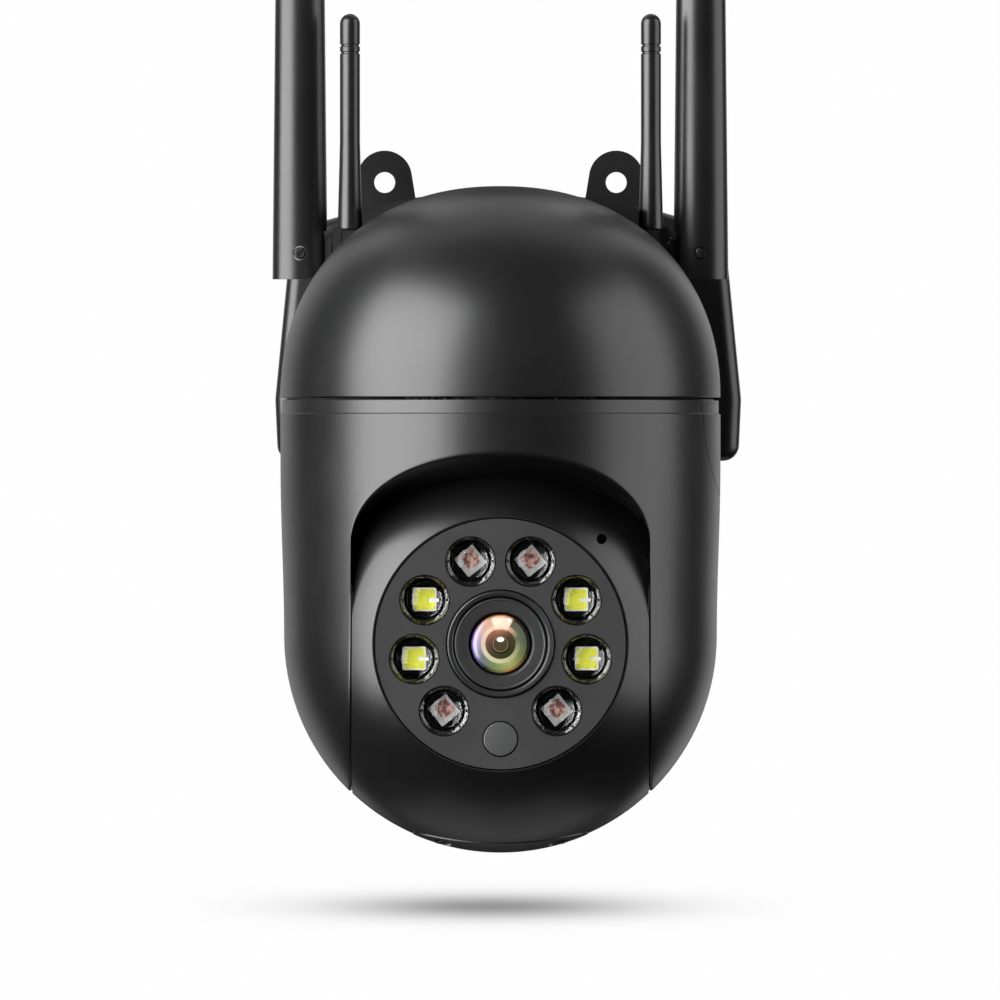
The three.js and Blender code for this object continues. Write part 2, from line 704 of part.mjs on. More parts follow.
const panTilt = group(pan, { z: TILT_Z });
node(pan, "pan_shell", "black", panShell());
node(pan, "side_access_cover", "black", sideCover(0, SIDE_COVER_T));
node(pan, "speaker", "steel", speaker());
node(panTilt, "yoke_cheek_right", "black", yokeCheek());
node(panTilt, "tilt_shaft", "steel", tiltShaft());
const panTiltLeft = group(panTilt, { mirror: true });
node(panTiltLeft, "yoke_cheek_left", "black", yokeCheek());
node(panTiltLeft, "trunnion_bush_left", "nylon", turned(trunnionProfile(3), "x", MID));

// ---------------------------------------------------------------- head shells
const PANEL_BACK = FACE_Y + PANEL_T;
const GASKET = [PANEL_BACK + GAP, PANEL_BACK + GAP + 1];
const SEAT = [GASKET[1] + GAP, GASKET[1] + GAP + 2];
const SEAT_BORE_R = PANEL_R - SEAT_LIP;
const COVER_PROUD = 0.15;
const COVER_ROOM_R = BALL_R + COVER_PROUD - COVER_T - GAP;
const SCREW_SEAT = -(BALL_R - 2.8);
const BOSS_TOP = -(BALL_R - 7.1);
const MIC_TURN = THREE.MathUtils.degToRad(MIC.angle);
const MIC_OUT = PANEL_R + MIC.out;
const MIC_AT = [MIC_OUT * Math.cos(MIC_TURN), 0, MIC_OUT * Math.sin(MIC_TURN)];
const MIC_REACH = MIC_OUT + MIC.radius;
const MIC_FRONT = 0.7 - Math.sqrt(BALL_INNER_R ** 2 - MIC_REACH ** 2);

const belowHead = (shape) => prism(shape, -BALL_R - 1, -BALL_R / 2, "z", MID);

const COVER_SCREWS = [-1, 1].map((side) => [side * COVER_SCREW.x, COVER_SCREW.y, 0]);

function headShell() {
  const slab = (half) => box(wide(half), wide(BALL_R + 1), wide(BALL_R + 1));
  const outside = ball(BALL_R).intersect(slab(HEAD_HALF));
  const inside = ball(BALL_INNER_R).intersect(slab(HEAD_HALF - WALL));
  const trunnionHole = rod(TRUNNION_R + RUN, -HEAD_HALF - 1, HEAD_HALF + 1, "x", MID);
  return outside.subtract(inside).subtract(trunnionHole);
}

function headFrontShell() {
  const inBall = ball(BALL_R - 0.5);
  const seat = rod(SEAT_BORE_R + 5.5, SEAT[0], SEAT[1], "y", FINE).intersect(inBall);
  const pocket = belowHead(ellipse(COVER_HALF_X + GAP, COVER_HALF_Y + GAP, [0, COVER_Y])).subtract(
    ball(COVER_ROOM_R),
  );
  const access = belowHead(rectangle(9, 6, 1, [0, COVER_Y]));
  let made = headShell()
    .intersect(box(wide(BALL_R), [FACE_Y, HEAD_SPLIT_Y - GAP / 2], wide(BALL_R + 1)))
    .add(seat)
    .subtract(rod(PANEL_R + GAP, FACE_Y - 1, SEAT[0], "y", FINE))
    .subtract(rod(SEAT_BORE_R, FACE_Y - 1, SEAT[1] + EPS, "y", FINE));
  for (const at of COVER_SCREWS) {
    made = made.add(rod(2.6, SCREW_SEAT - 0.3, BOSS_TOP, "z", COARSE, at).intersect(inBall));
  }
  made = made.subtract(pocket).subtract(access);
  for (const at of COVER_SCREWS) {
    made = made.subtract(rod(COVER_SCREW.shank + GAP, -BALL_R, BOSS_TOP + 0.4, "z", COARSE, at));
  }
  return made.subtract(rod(MIC.hole, -BALL_R, MIC_FRONT, "y", COARSE, MIC_AT));
}

function headRearShell() {
  return headShell().intersect(box(wide(BALL_R), [HEAD_SPLIT_Y + GAP / 2, BALL_R + 1], wide(BALL_R + 1)));
}

node(head, "head_front_shell", "black", headFrontShell());
node(head, "head_rear_shell", "black", headRearShell());

// ---------------------------------------------------------------- face of the head
const BOARD_FRONT = FACE_Y + 5.15;
const LED_TOP = BOARD_FRONT - 1;

const ledPlaces = LED_ANGLES.map((degrees) => {
  const angle = THREE.MathUtils.degToRad(degrees);
  return [LED_CIRCLE_R * Math.cos(angle), 0, LED_CIRCLE_R * Math.sin(angle)];
});

function frontPanel() {
  let made = rod(PANEL_R, FACE_Y, PANEL_BACK, "y", FINE);
  for (const at of ledPlaces) {
    made = made.add(rod(LED_BORE_R + LED_COLLAR_T, PANEL_BACK - EPS, BOARD_FRONT - GAP, "y", COARSE, at));
  }
  made = made.subtract(rod(LENS_HOLE_R, FACE_Y - 1, 0, "y", MID));
  for (const at of ledPlaces) {
    made = made.subtract(rod(LED_BORE_R, FACE_Y - 1, 0, "y", COARSE, at));
  }
  return made.subtract(rod(WINDOW_R + GAP, FACE_Y - 1, 0, "y", COARSE, [0, 0, -WINDOW_DROP]));
}

function ledBoard() {
  let made = tube(TRIM_R + 0.4, SEAT_BORE_R - GAP, BOARD_FRONT, BOARD_FRONT + 1.4, "y", MID);
  for (const at of ledPlaces) {
    made = made.add(box(wide(1.7), [LED_TOP, BOARD_FRONT + EPS], wide(1.7)).translate(at));
  }
  return made;
}

function ledLens() {
  const base = LED_TOP - GAP;
  const rim = base - 1;
  const height = 2.3;
  const profile = [];
  for (let i = 0; i <= 4; i++) {
    const t = (Math.PI / 2) * (i / 4);
    profile.push([LED_LENS_R * Math.sin(t), rim - height * Math.cos(t)]);
  }
  return turned([...profile, [LED_LENS_R, base], [0, base]], "y", COARSE);
}

const BARREL_FRONT = FACE_Y - 0.25;
const GLASS_SEAT = BARREL_FRONT + 3.9;
const BARREL_STEP = FACE_Y + 4.95;
const BARREL_TAIL = FACE_Y + 21.95;
const TAIL_R = 7;

function lensBarrel() {
  const bore = GLASS_R - 1;
  return turned(
    [
      [GLASS_R + GAP, BARREL_FRONT],
      [BARREL_R, BARREL_FRONT],
      [BARREL_R, BARREL_STEP],
      [TAIL_R, BARREL_STEP],
      [TAIL_R, BARREL_TAIL],
      [bore, BARREL_TAIL],
      [bore, GLASS_SEAT],
      [GLASS_R + GAP, GLASS_SEAT],
    ],
    "y",
    MID,
  );
}

function lensGlass() {
  const back = GLASS_SEAT - GAP;
  const rim = back - 2;
  const profile = [];
  for (let i = 0; i <= 4; i++) {
    const t = (Math.PI / 2) * (i / 4);
    profile.push([GLASS_R * Math.sin(t), rim - 1.2 * Math.cos(t)]);
  }
  return turned([...profile, [GLASS_R, back], [0, back]], "y", MID);
}

node(head, "front_panel", "panel", frontPanel());
node(head, "panel_gasket", "rubber", tube(SEAT_BORE_R, PANEL_R, ...GASKET, "y", MID));
node(head, "lens_trim_ring", "black", tube(BARREL_R + GAP, TRIM_R, FACE_Y - TRIM_PROUD, BARREL_STEP, "y", MID));
node(head, "lens_barrel", "black", lensBarrel());
node(head, "lens_glass", "clear", lensGlass());
node(head, "led_board", "board", ledBoard());
ledPlaces.forEach((at, i) => node(head, `led_lens_${i + 1}`, "clear", ledLens().translate(at)));
const windowDisc = rod(WINDOW_R, FACE_Y + 0.05, PANEL_BACK, "y", COARSE, [0, 0, -WINDOW_DROP]);
node(head, "light_sensor_window", "panel", windowDisc);

// ---------------------------------------------------------------- inside the head
const MOUNT_Y = [BARREL_TAIL - 10, BARREL_TAIL + 5.5];
const FILTER_Y = [BARREL_TAIL + 1.8, BARREL_TAIL + 3.2];
const MOUNT_HALF = 10;

function lensMount() {
  const slot = [FILTER_Y[0] - RUN, FILTER_Y[1] + RUN];
  return box(wide(MOUNT_HALF), MOUNT_Y, wide(MOUNT_HALF))
    .subtract(rod(TAIL_R + GAP, MOUNT_Y[0] - 1, BARREL_TAIL + RUN, "y", MID))
    .subtract(rod(5, MOUNT_Y[0], MOUNT_Y[1] + 1, "y", COARSE))
    .subtract(box(wide(MOUNT_HALF + 1), slot, wide(FILTER_SLOT_HALF)));
}

function imageSensorBoard() {
  const front = MOUNT_Y[1] + GAP;
  return box(wide(16), [front, front + 1.4], wide(16)).add(
    box(wide(3), [front - 1, front + EPS], wide(2.5)),
  );
}

function tiltMotor() {
  const can = motorCan(TILT_MOTOR_X[0], TILT_MOTOR_X[1], "x", [0, TILT_MOTOR_Y, 0]);
  const ears = box([TILT_MOTOR_X[1] - 1, TILT_MOTOR_X[1]], [TILT_MOTOR_Y - 3.5, TILT_MOTOR_Y + 3.5], wide(21));
  const nose = rod(SHAFT_R + 2, TILT_MOTOR_X[1] - EPS, TILT_MOTOR_X[1] + 1.7, "x", COARSE);
  const socket = rod(SHAFT_R + GAP, TILT_MOTOR_X[1] - 2.4, TILT_MOTOR_X[1] + 2, "x", COARSE);
  return can.add(ears).add(nose).subtract(socket);
}

function cardCover() {
  const skin = ball(BALL_R + COVER_PROUD).subtract(ball(BALL_R + COVER_PROUD - COVER_T));
  let made = skin.intersect(belowHead(ellipse(COVER_HALF_X, COVER_HALF_Y, [0, COVER_Y])));
  for (const at of COVER_SCREWS) {
    made = made.subtract(rod(COVER_SCREW.head + GAP, -BALL_R - 1, SCREW_SEAT, "z", COARSE, at));
    made = made.subtract(rod(COVER_SCREW.shank + GAP, -BALL_R - 1, SCREW_SEAT + 3, "z", COARSE, at));
  }
  return made;
}

function coverScrew(at) {
  const headLow = SCREW_SEAT - 1.1;
  const headHigh = SCREW_SEAT - GAP;
  const profile = [
    [0, headLow],
    [COVER_SCREW.head, headLow],
    [COVER_SCREW.head, headHigh],
    [COVER_SCREW.shank, headHigh],
    [COVER_SCREW.shank, BOSS_TOP],
    [0, BOSS_TOP],
  ];
  return turned(profile, "z", COARSE, at);
}

const CARD_BOARD_Z = -(BALL_R - 6.6);

function cardBoard() {
  return box(wide(9.2), [COVER_Y - 6.4, COVER_Y + 6.6], [CARD_BOARD_Z, CARD_BOARD_Z + 1.2]).add(
    box([-8, 3], [COVER_Y - 5.4, COVER_Y + 5.6], [CARD_BOARD_Z - 1.7, CARD_BOARD_Z + EPS]),
  );
}

function micBody() {
  return rod(MIC.radius, MIC_FRONT, MIC_FRONT + MIC.depth, "y", COARSE, MIC_AT);
}

const resetButton = rod(1.5, CARD_BOARD_Z - 3.1, CARD_BOARD_Z - 0.6, "z", COARSE, [6.5, COVER_Y, 0]);
node(head, "lens_mount", "black", lensMount());
node(head, "ir_cut_filter", "filter", box(wide(9.5), FILTER_Y, wide(FILTER_SLOT_HALF - 0.4)));
node(head, "image_sensor_board", "board", imageSensorBoard());
node(head, "tilt_motor", "steel", tiltMotor());
node(head, "microphone", "steel", micBody());
node(head, "card_cover", "black", cardCover());
const [screwLeft, screwRight] = COVER_SCREWS.map(coverScrew);
node(head, "card_cover_screw_left", "steel", screwLeft);
node(head, "card_cover_screw_right", "steel", screwRight);
node(head, "card_board", "board", cardBoard());
node(head, "reset_button", "nylon", resetButton);

// ---------------------------------------------------------------- antennas
// Everything here is made for the right side, about the dome's axis, and mirrored for the left.
const TONGUE_HALF = TONGUE_T / 2;
const TAB_X = [ARM_HALF + GAP + TAB_OUT - TAB_T, ARM_HALF + GAP + TAB_OUT];

function antennaMount() {
  const x = [ARM_HALF + GAP, ARM_HALF + GAP + MOUNT_W];
  const ledge = box(x, [ANTENNA_BACK - 11, ANTENNA_BACK + 5], [MOUNT_TOP - 12.8, MOUNT_TOP]);
  const tab = box([x[1] - EPS, TAB_X[1]], [ANTENNA_BACK - 4.4, ANTENNA_BACK + 4.4], [MOUNT_TOP - 11.8, MOUNT_TOP - 3]);
  const tabTop = box(TAB_X, [ANTENNA_BACK - 4.4, ANTENNA_BACK + 4.4], [MOUNT_TOP - 11.8, TAB_TOP]);
  const bore = rod(SPIGOT_R + GAP, x[0] + 1, TAB_X[1] + 1, "x", COARSE, [0, ANTENNA_BACK, PIN_Z]);
  return ledge.add(tab).add(tabTop).subtract(bore).subtract(domeSolid(GAP, -EPS));
}

function rodAntenna() {
  const grooves = ROD_GROOVES.flatMap((z) => [
    [ROD_R, z],
    [ROD_R - 0.25, z + 0.1],
    [ROD_R - 0.25, z + 0.5],
    [ROD_R, z + 0.6],
  ]);
  const cap = [0, 1, 2].map((i) => {
    const t = (Math.PI / 6) * i;
    return [ROD_R * Math.cos(t), ROD_LENGTH - ROD_R + ROD_R * Math.sin(t)];
  });
  const profile = [[0, 0], [ROD_FOOT_R, 0], [ROD_R, ROD_FLARE_TOP], ...grooves, ...cap, [0, ROD_LENGTH]];
  return turned(profile, "z", COARSE, [BODY_R - ROD_INSET, ANTENNA_BACK - ROD_FORWARD, MOUNT_TOP + GAP]);
}

function knuckle() {
  const inner = TAB_X[1] + GAP;
  const centre = [BLADE_X, ANTENNA_BACK, PIN_Z];
  const flangeY = [ANTENNA_BACK - 4, ANTENNA_BACK + 4];
  const flange = box([inner, inner + FLANGE_T], flangeY, [PIN_Z - 3.4, PIN_Z + 3.4]);
  const neck = box([inner, BLADE_X], [ANTENNA_BACK - TONGUE_HALF, ANTENNA_BACK + TONGUE_HALF], [
    PIN_Z - 3,
    PIN_Z + 3,
  ]);
  const tongue = rod(TONGUE_R, -TONGUE_HALF, TONGUE_HALF, "y", MID, centre);
  const spigot = rod(SPIGOT_R, ARM_HALF + 2, inner + EPS, "x", COARSE, [0, ANTENNA_BACK, PIN_Z]);
  const pinHole = rod(PIN_R + GAP, -BLADE_DEPTH, BLADE_DEPTH, "y", COARSE, centre);
  return flange.add(neck).add(tongue).add(spigot).subtract(pinHole);
}

// Blade section: a rounded oval, as wide as the blade at that height.
function bladeSection(half) {
  const points = [];
  const sides = 20;
  for (let i = 0; i < sides; i++) {
    const t = (2 * Math.PI * i) / sides;
    const round = (value) => Math.sign(value) * Math.abs(value) ** 0.8;
    const depth = (BLADE_DEPTH / 2) * (half / BLADE_HALF);
    points.push(new THREE.Vector2(half * round(Math.cos(t)), depth * round(Math.sin(t))));
  }
  return points;
}

function bladeAntenna() {
  const top = BLADE_BOTTOM + BLADE_LENGTH;
  const levels = [BLADE_BOTTOM, top - 4, top - 1.2, top];
  const shrink = [1, 1, 0.82, 0.5];
  const outlines = levels.map((z, i) =>
    bladeSection((BLADE_HALF - BLADE_TAPER * (z - BLADE_BOTTOM)) * shrink[i]),
  );
  const at = [BLADE_X, ANTENNA_BACK, 0];
  const centre = [BLADE_X, ANTENNA_BACK, PIN_Z];
  const fork = box(
    [BLADE_X - BLADE_HALF - 1, BLADE_X + TONGUE_R + RUN],
    [ANTENNA_BACK - TONGUE_HALF - GAP, ANTENNA_BACK + TONGUE_HALF + GAP],
    [BLADE_BOTTOM - 1, PIN_Z + TONGUE_R + RUN],
  );
  const corner = box([BLADE_X - 9, BLADE_X], [0, 2 * ANTENNA_BACK], [PIN_Z - 9, PIN_Z]).subtract(
    rod(FOOT_R, -BLADE_DEPTH, BLADE_DEPTH, "y", MID, centre),
  );
  const pinHole = rod(PIN_R + GAP, -BLADE_DEPTH, BLADE_DEPTH, "y", COARSE, centre);
  return loft(outlines, levels, "z").translate(at).subtract(fork).subtract(corner).subtract(pinHole);
}

const antennaSides = [
  ["right", fixed],
  ["left", group(fixed, { mirror: true })],
];
for (const [name, parent] of antennaSides) {
  const pinHalf = BLADE_DEPTH / 2 - 0.1;
  node(parent, `antenna_mount_${name}`, "black", antennaMount());
  node(parent, `rod_antenna_${name}`, "black", rodAntenna());
  node(parent, `antenna_knuckle_${name}`, "black", knuckle());
  node(parent, `blade_antenna_${name}`, "black", bladeAntenna());
  const pin = rod(PIN_R, -pinHalf, pinHalf, "y", COARSE, [BLADE_X, ANTENNA_BACK, PIN_Z]);
  node(parent, `antenna_pin_${name}`, "steel", pin);
}

export default camera;
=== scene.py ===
import math

import bmesh
import bpy
import numpy as np
from mathutils import Matrix, Vector


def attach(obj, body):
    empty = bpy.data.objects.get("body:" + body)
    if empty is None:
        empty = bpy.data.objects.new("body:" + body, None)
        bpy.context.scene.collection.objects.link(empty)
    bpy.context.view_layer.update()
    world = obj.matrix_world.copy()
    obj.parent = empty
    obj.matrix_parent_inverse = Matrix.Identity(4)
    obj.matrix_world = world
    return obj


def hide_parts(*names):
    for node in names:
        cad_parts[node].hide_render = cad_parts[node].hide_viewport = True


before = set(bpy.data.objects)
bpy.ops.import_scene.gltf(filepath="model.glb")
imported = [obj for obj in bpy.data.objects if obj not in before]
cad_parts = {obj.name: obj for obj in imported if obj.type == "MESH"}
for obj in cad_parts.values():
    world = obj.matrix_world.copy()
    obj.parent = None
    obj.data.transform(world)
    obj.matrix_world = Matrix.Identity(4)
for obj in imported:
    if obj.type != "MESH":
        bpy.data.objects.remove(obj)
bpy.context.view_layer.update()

# ---------------------------------------------------------------- dome cover
# The fixed upper half: one thin injection-moulded black ABS shell, satin from a spark-eroded mould.
# Its outline is a superellipse turned about the pan axis, and its rim is rounded where it meets
# the seam. It hangs on the bracket arm and never turns.
PAN_Y = -78.3
BODY_R = 48.0
DOME_H = 46.4
DOME_POWER = 2.17
DOME_RIM = 0.2
SHELL_WALL = 2.2
SEGMENTS = 192


class Wire:
    """A socket that Python expressions can work with; each operation adds its Math node."""

    def __init__(self, finish, socket):
        self.finish, self.socket = finish, socket

    def maths(self, operation, *others):
        return self.finish.add("ShaderNodeMath", {"operation": operation}, dict(enumerate((self, *others))))[0]

    __add__ = __radd__ = lambda self, other: self.maths("ADD", other)
    __sub__ = lambda self, other: self.maths("SUBTRACT", other)
    __rsub__ = lambda self, other: self.maths("MULTIPLY_ADD", -1.0, other)
    __mul__ = __rmul__ = lambda self, other: self.maths("MULTIPLY", other)
    __truediv__ = lambda self, other: self.maths("DIVIDE", other)
    __pow__ = lambda self, other: self.maths("POWER", other)

    def between(self, low, high):
        """0 below low, 1 above high, smooth in the middle."""
        settings = {"interpolation_type": "SMOOTHSTEP"}
        sockets = {"Value": self, "From Min": low, "From Max": high}
        return self.finish.add("ShaderNodeMapRange", settings, sockets)[0]


class Finish:
    """A material under construction. add() makes any node and returns its output wires."""

    def __init__(self, name):
        self.material = bpy.data.materials.new(name)
        self.material.use_nodes = True
        self.tree = self.material.node_tree
        self.tree.nodes.clear()

    def add(self, kind, settings=None, sockets=None):
        node = self.tree.nodes.new(kind)
        for key, value in (settings or {}).items():
            if key == "stops":
                ramp = node.color_ramp
                while len(ramp.elements) < len(value):
                    ramp.elements.new(0.5)
                for stop, (place, colour) in zip(ramp.elements, value):
                    stop.position = place
                    stop.color = (*colour, 1.0)
            else:
                setattr(node, key, value)
        for key, value in (sockets or {}).items():
            socket = node.inputs[key]
            if isinstance(value, Wire):
                self.tree.links.new(value.socket, socket)
            elif isinstance(value, tuple) and len(value) == 3 and socket.type == "RGBA":
                socket.default_value = (*value, 1.0)
            else:
                socket.default_value = value
        return [Wire(self, output) for output in node.outputs]

    def place(self, centre=(0, 0, 0), turn=(0, 0, 0), scale=(1, 1, 1)):
        """Object coordinates in mm, counted from centre."""
        coords = self.add("ShaderNodeTexCoord")[3]
        moved = self.add(
            "ShaderNodeVectorMath",
            {"operation": "MULTIPLY_ADD"},
            {0: coords, 1: (1000, 1000, 1000), 2: tuple(-c for c in centre)},
        )[0]
        return self.add(
            "ShaderNodeMapping", {"vector_type": "POINT"}, {"Vector": moved, "Rotation": turn, "Scale": scale}
        )[0]

    def noise(self, vector, scale, detail=3.0, roughness=0.55):
        sockets = {"Vector": vector, "Scale": scale, "Detail": detail, "Roughness": roughness}
        return self.add("ShaderNodeTexNoise", {}, sockets)[0]

    def mix(self, factor, one, other):
        sockets = {"Factor": factor, 6: one, 7: other}
        return self.add("ShaderNodeMix", {"data_type": "RGBA"}, sockets)[2]

    def bump(self, height, distance, strength=1.0, under=None):
        sockets = {"Height": height, "Distance": distance, "Strength": strength}
        if under:
            sockets["Normal"] = under
        return self.add("ShaderNodeBump", {}, sockets)[0]

    def surface(self, **sockets):
        named = {key.replace("_", " "): value for key, value in sockets.items()}
        shader = self.add("ShaderNodeBsdfPrincipled", {}, named)[0]
        self.add("ShaderNodeOutputMaterial", {}, {"Surface": shader})
        return self.material


def moulded(name, colour, roughness, grain=1.0, gloss_spread=0.05):
    """Moulded thermoplastic: eroded grain, faint flow marks, a few dust specks and rubbed patches."""
    finish = Finish(name)
    at = finish.place()
    grit = finish.noise(at, 2.6, 4.0, 0.6)
    flow = finish.noise(finish.place(scale=(1, 1, 0.35)), 0.09, 2.0)
    rubbed = finish.noise(at, 0.035, 4.0, 0.65)
    cells = finish.add("ShaderNodeTexVoronoi", {}, {"Vector": at, "Scale": 0.22, "Randomness": 1.0})
    dust = 1 - cells[0].between(0.008, 0.02)
    tone = finish.mix(rubbed.between(0.35, 0.7), colour, tuple(c * 1.22 + 0.0012 for c in colour))
    tone = finish.mix(dust * 0.35, tone, (0.16, 0.155, 0.15))
    shine = (grit - 0.5) * (0.9 * gloss_spread) + (flow - 0.5) * (1.4 * gloss_spread) + roughness
    shine = shine + rubbed.between(0.45, 0.75) * (0.6 * gloss_spread) + dust * 0.2
    normal = finish.bump(grit, 0.0000125 * grain)
    normal = finish.bump(finish.noise(at, 0.5, 2.0), 0.00002 * grain, 0.5, normal)
    return finish.surface(Base_Color=tone, Roughness=shine, Normal=normal, IOR=1.5)


def rounded(corners, closed=False, steps=6):
    """Polyline through [x, y, radius] corners, each rounded by an arc of its radius."""
    out = []
    for i, (x, y, radius) in enumerate(corners):
        corner = np.array((x, y), float)
        if radius <= 0 or (not closed and i in (0, len(corners) - 1)):
            out.append(corner)
            continue
        back = np.array(corners[i - 1][:2], float) - corner
        ahead = np.array(corners[(i + 1) % len(corners)][:2], float) - corner
        back /= np.linalg.norm(back)
        ahead /= np.linalg.norm(ahead)
        half = math.acos(np.clip(back @ ahead, -1, 1)) / 2
        middle = back + ahead
        centre = corner + middle / np.linalg.norm(middle) * radius / math.sin(half)
        start = corner + back * radius / math.tan(half) - centre
        end = corner + ahead * radius / math.tan(half) - centre
        sweep = math.pi - 2 * half
        for k in range(steps + 1):
            t = k / steps
            bent = math.sin((1 - t) * sweep) * start + math.sin(t * sweep) * end
            out.append(centre + bent / math.sin(sweep))
    return np.array(out)


def in_scene(name, data):
    obj = bpy.data.objects.new(name, data)
    bpy.context.scene.collection.objects.link(obj)
    return obj


def mesh_object(name, points, faces):
    """Plain object from points in mm, with its doubles merged and its faces turned outwards."""
    mesh = bpy.data.meshes.new(name)
    mesh.from_pydata([tuple(p) for p in np.asarray(points) * 0.001], [], faces)
    made = bmesh.new()
    made.from_mesh(mesh)
    bmesh.ops.remove_doubles(made, verts=made.verts, dist=2e-6)
    bmesh.ops.dissolve_degenerate(made, edges=made.edges, dist=1e-6)
    bmesh.ops.recalc_face_normals(made, faces=made.faces)
    made.to_mesh(mesh)
    made.free()
    return in_scene(name, mesh)


def skin(name, loops, closed=False, capped=False):
    """Mesh through closed loops of like points, in mm; closed joins the last loop to the first."""
    loops = np.asarray(loops, float)
    rows, count = loops.shape[:2]
    faces = []
    for row in range(rows if closed else rows - 1):
        low, high = row * count, ((row + 1) % rows) * count
        for c in range(count):
            d = (c + 1) % count
            faces.append((low + c, low + d, high + d, high + c))
    if capped:
        faces += [tuple(range(count))[::-1], tuple(range((rows - 1) * count, rows * count))]
    return mesh_object(name, loops.reshape(-1, 3), faces)


def turned(name, profile, axis="z", centre=(0, 0, 0), segments=96):
    """Solid of revolution from [radius, height] points; poles close where the radius is 0."""
    turn = np.linspace(0, 2 * math.pi, segments, endpoint=False)
    loops = []
    for radius, height in profile:
        across, up, along = radius * np.cos(turn), radius * np.sin(turn), np.full(segments, height)
        order = {"z": (across, up, along), "y": (across, along, up), "x": (along, across, up)}[axis]
        loops.append(np.stack(order, -1) + np.array(centre))
    return skin(name, loops, closed=profile[0][0] > 0)


def cylinder(name, radius, low, high, axis="y", centre=(0, 0, 0), segments=48):
    return turned(name, [[0, low], [radius, low], [radius, high], [0, high]], axis, centre, segments)


def prism(name, outline, levels):
    """Solid between two heights along Y, from an outline of (x, z) points."""
    return skin(name, [[(x, y, z) for x, z in outline] for y in levels], capped=True)


def shade(obj, angle=35):
    obj.data.shade_smooth()
    obj.data.set_sharp_from_angle(angle=math.radians(angle))


def applied(obj):
    """The object's modifiers made part of its plain mesh."""
    bpy.context.view_layer.update()
    graph = bpy.context.evaluated_depsgraph_get()
    mesh = bpy.data.meshes.new_from_object(obj.evaluated_get(graph))
    obj.modifiers.clear()
    obj.data = mesh
    return obj


def boolean(obj, others, operation="DIFFERENCE"):
    for other in others:
        step = obj.modifiers.new("cut", "BOOLEAN")
        step.operation = operation
        step.solver = "MANIFOLD"
        step.object = other
        applied(obj)
        bpy.data.objects.remove(other)
    return obj


def bevelled(obj, width, segments=2, angle=32):
    """Rounds the sharp edges; the faces beside them keep their flat or round shading."""
    shade(obj, angle)
    step = obj.modifiers.new("edge", "BEVEL")
    step.harden_normals = True
    step.width = width * 0.001
    step.segments = segments
    step.limit_method = "ANGLE"
    step.angle_limit = math.radians(angle)
    return applied(obj)


def fit(obj, body, material, slot, *nodes, angle=35):
    """Last step for every piece: finish, shading, its body, and the CAD nodes it stands for."""
    obj.data.materials.clear()
    obj.data.materials.append(material)
    if not obj.data.has_custom_normals:
        shade(obj, angle)
    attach(obj, body)
    if nodes:
        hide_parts(*nodes)
    return obj


def dome_points(grow, low, steps=56):
    radius, height = BODY_R + grow, DOME_H + grow
    start = math.asin((low / height) ** (DOME_POWER / 2)) if low > 0 else 0
    turn = np.linspace(start, math.pi / 2, steps)
    return np.stack((radius * np.cos(turn) ** (2 / DOME_POWER), height * np.sin(turn) ** (2 / DOME_POWER)), -1)


black_abs = moulded("satin_black_abs", (0.0042, 0.0043, 0.0046), 0.34)

outer = dome_points(0, DOME_RIM)
outer[-1, 0] = 0
inner = dome_points(-SHELL_WALL, DOME_RIM)[::-1]
inner[0, 0] = 0
rim = rounded([[outer[1, 0], outer[1, 1], 0], [BODY_R, DOME_RIM, 0.35], [BODY_R - SHELL_WALL, DOME_RIM, 0]])
dome = turned("dome_skin", np.concatenate((inner, rim[::-1], outer[1:])), "z", (0, PAN_Y, 0), SEGMENTS)
fit(dome, "base", black_abs, "black_plastic", "dome_cover")

# ---------------------------------------------------------------- pan body
# The turning lower shell: a hood over the head and the two arms of the yoke, moulded in one from the
# same black ABS. A shallow band runs under the seam, the front opening is an arch with a rolled lip,
# and the speaker sounds through slots at the back. The side cover clips into a recess on the right.
BAND_R = 47.6
BAND_Z = -3.2
LOW_R = 47.2
TILT_Z = -51.8
PAN_WALL = 2.8
SLOT_HALF = 32.55
ARCH_TOP = -12.3
ARCH_SHOULDER = -30.8
REAR_SLOT_Z = -38.2
BALL_ROOM = 47.75
REAR_ROOM = 48.05
LIP_R = 0.9
LIP_DEPTH = 3.8
MOST_DEPTH = 18.0
EASE_FROM = -14.5
RIM_Z = -0.2
INNER_SLACK = 0.3


def body_radius(z):
    """Outer radius of the pan body at a height: straight, easing in, then a ball end."""
    z = np.asarray(z, float)
    ease = np.clip((EASE_FROM - z) / (EASE_FROM - TILT_Z), 0, 1)
    wall = BODY_R - (BODY_R - LOW_R) * ease * ease * (3 - 2 * ease)
    ball = np.sqrt(np.clip(LOW_R**2 - np.clip(TILT_Z - z, 0, None) ** 2, 0, None))
    return np.where(z < TILT_Z, ball, wall)


def on_wall(flat, side):
    """Points (x, z) put on the body's outside, at the front for side -1 and at the back for 1."""
    return np.column_stack((flat[:, 0], side * np.sqrt(body_radius(flat[:, 1]) ** 2 - flat[:, 0] ** 2), flat[:, 1]))


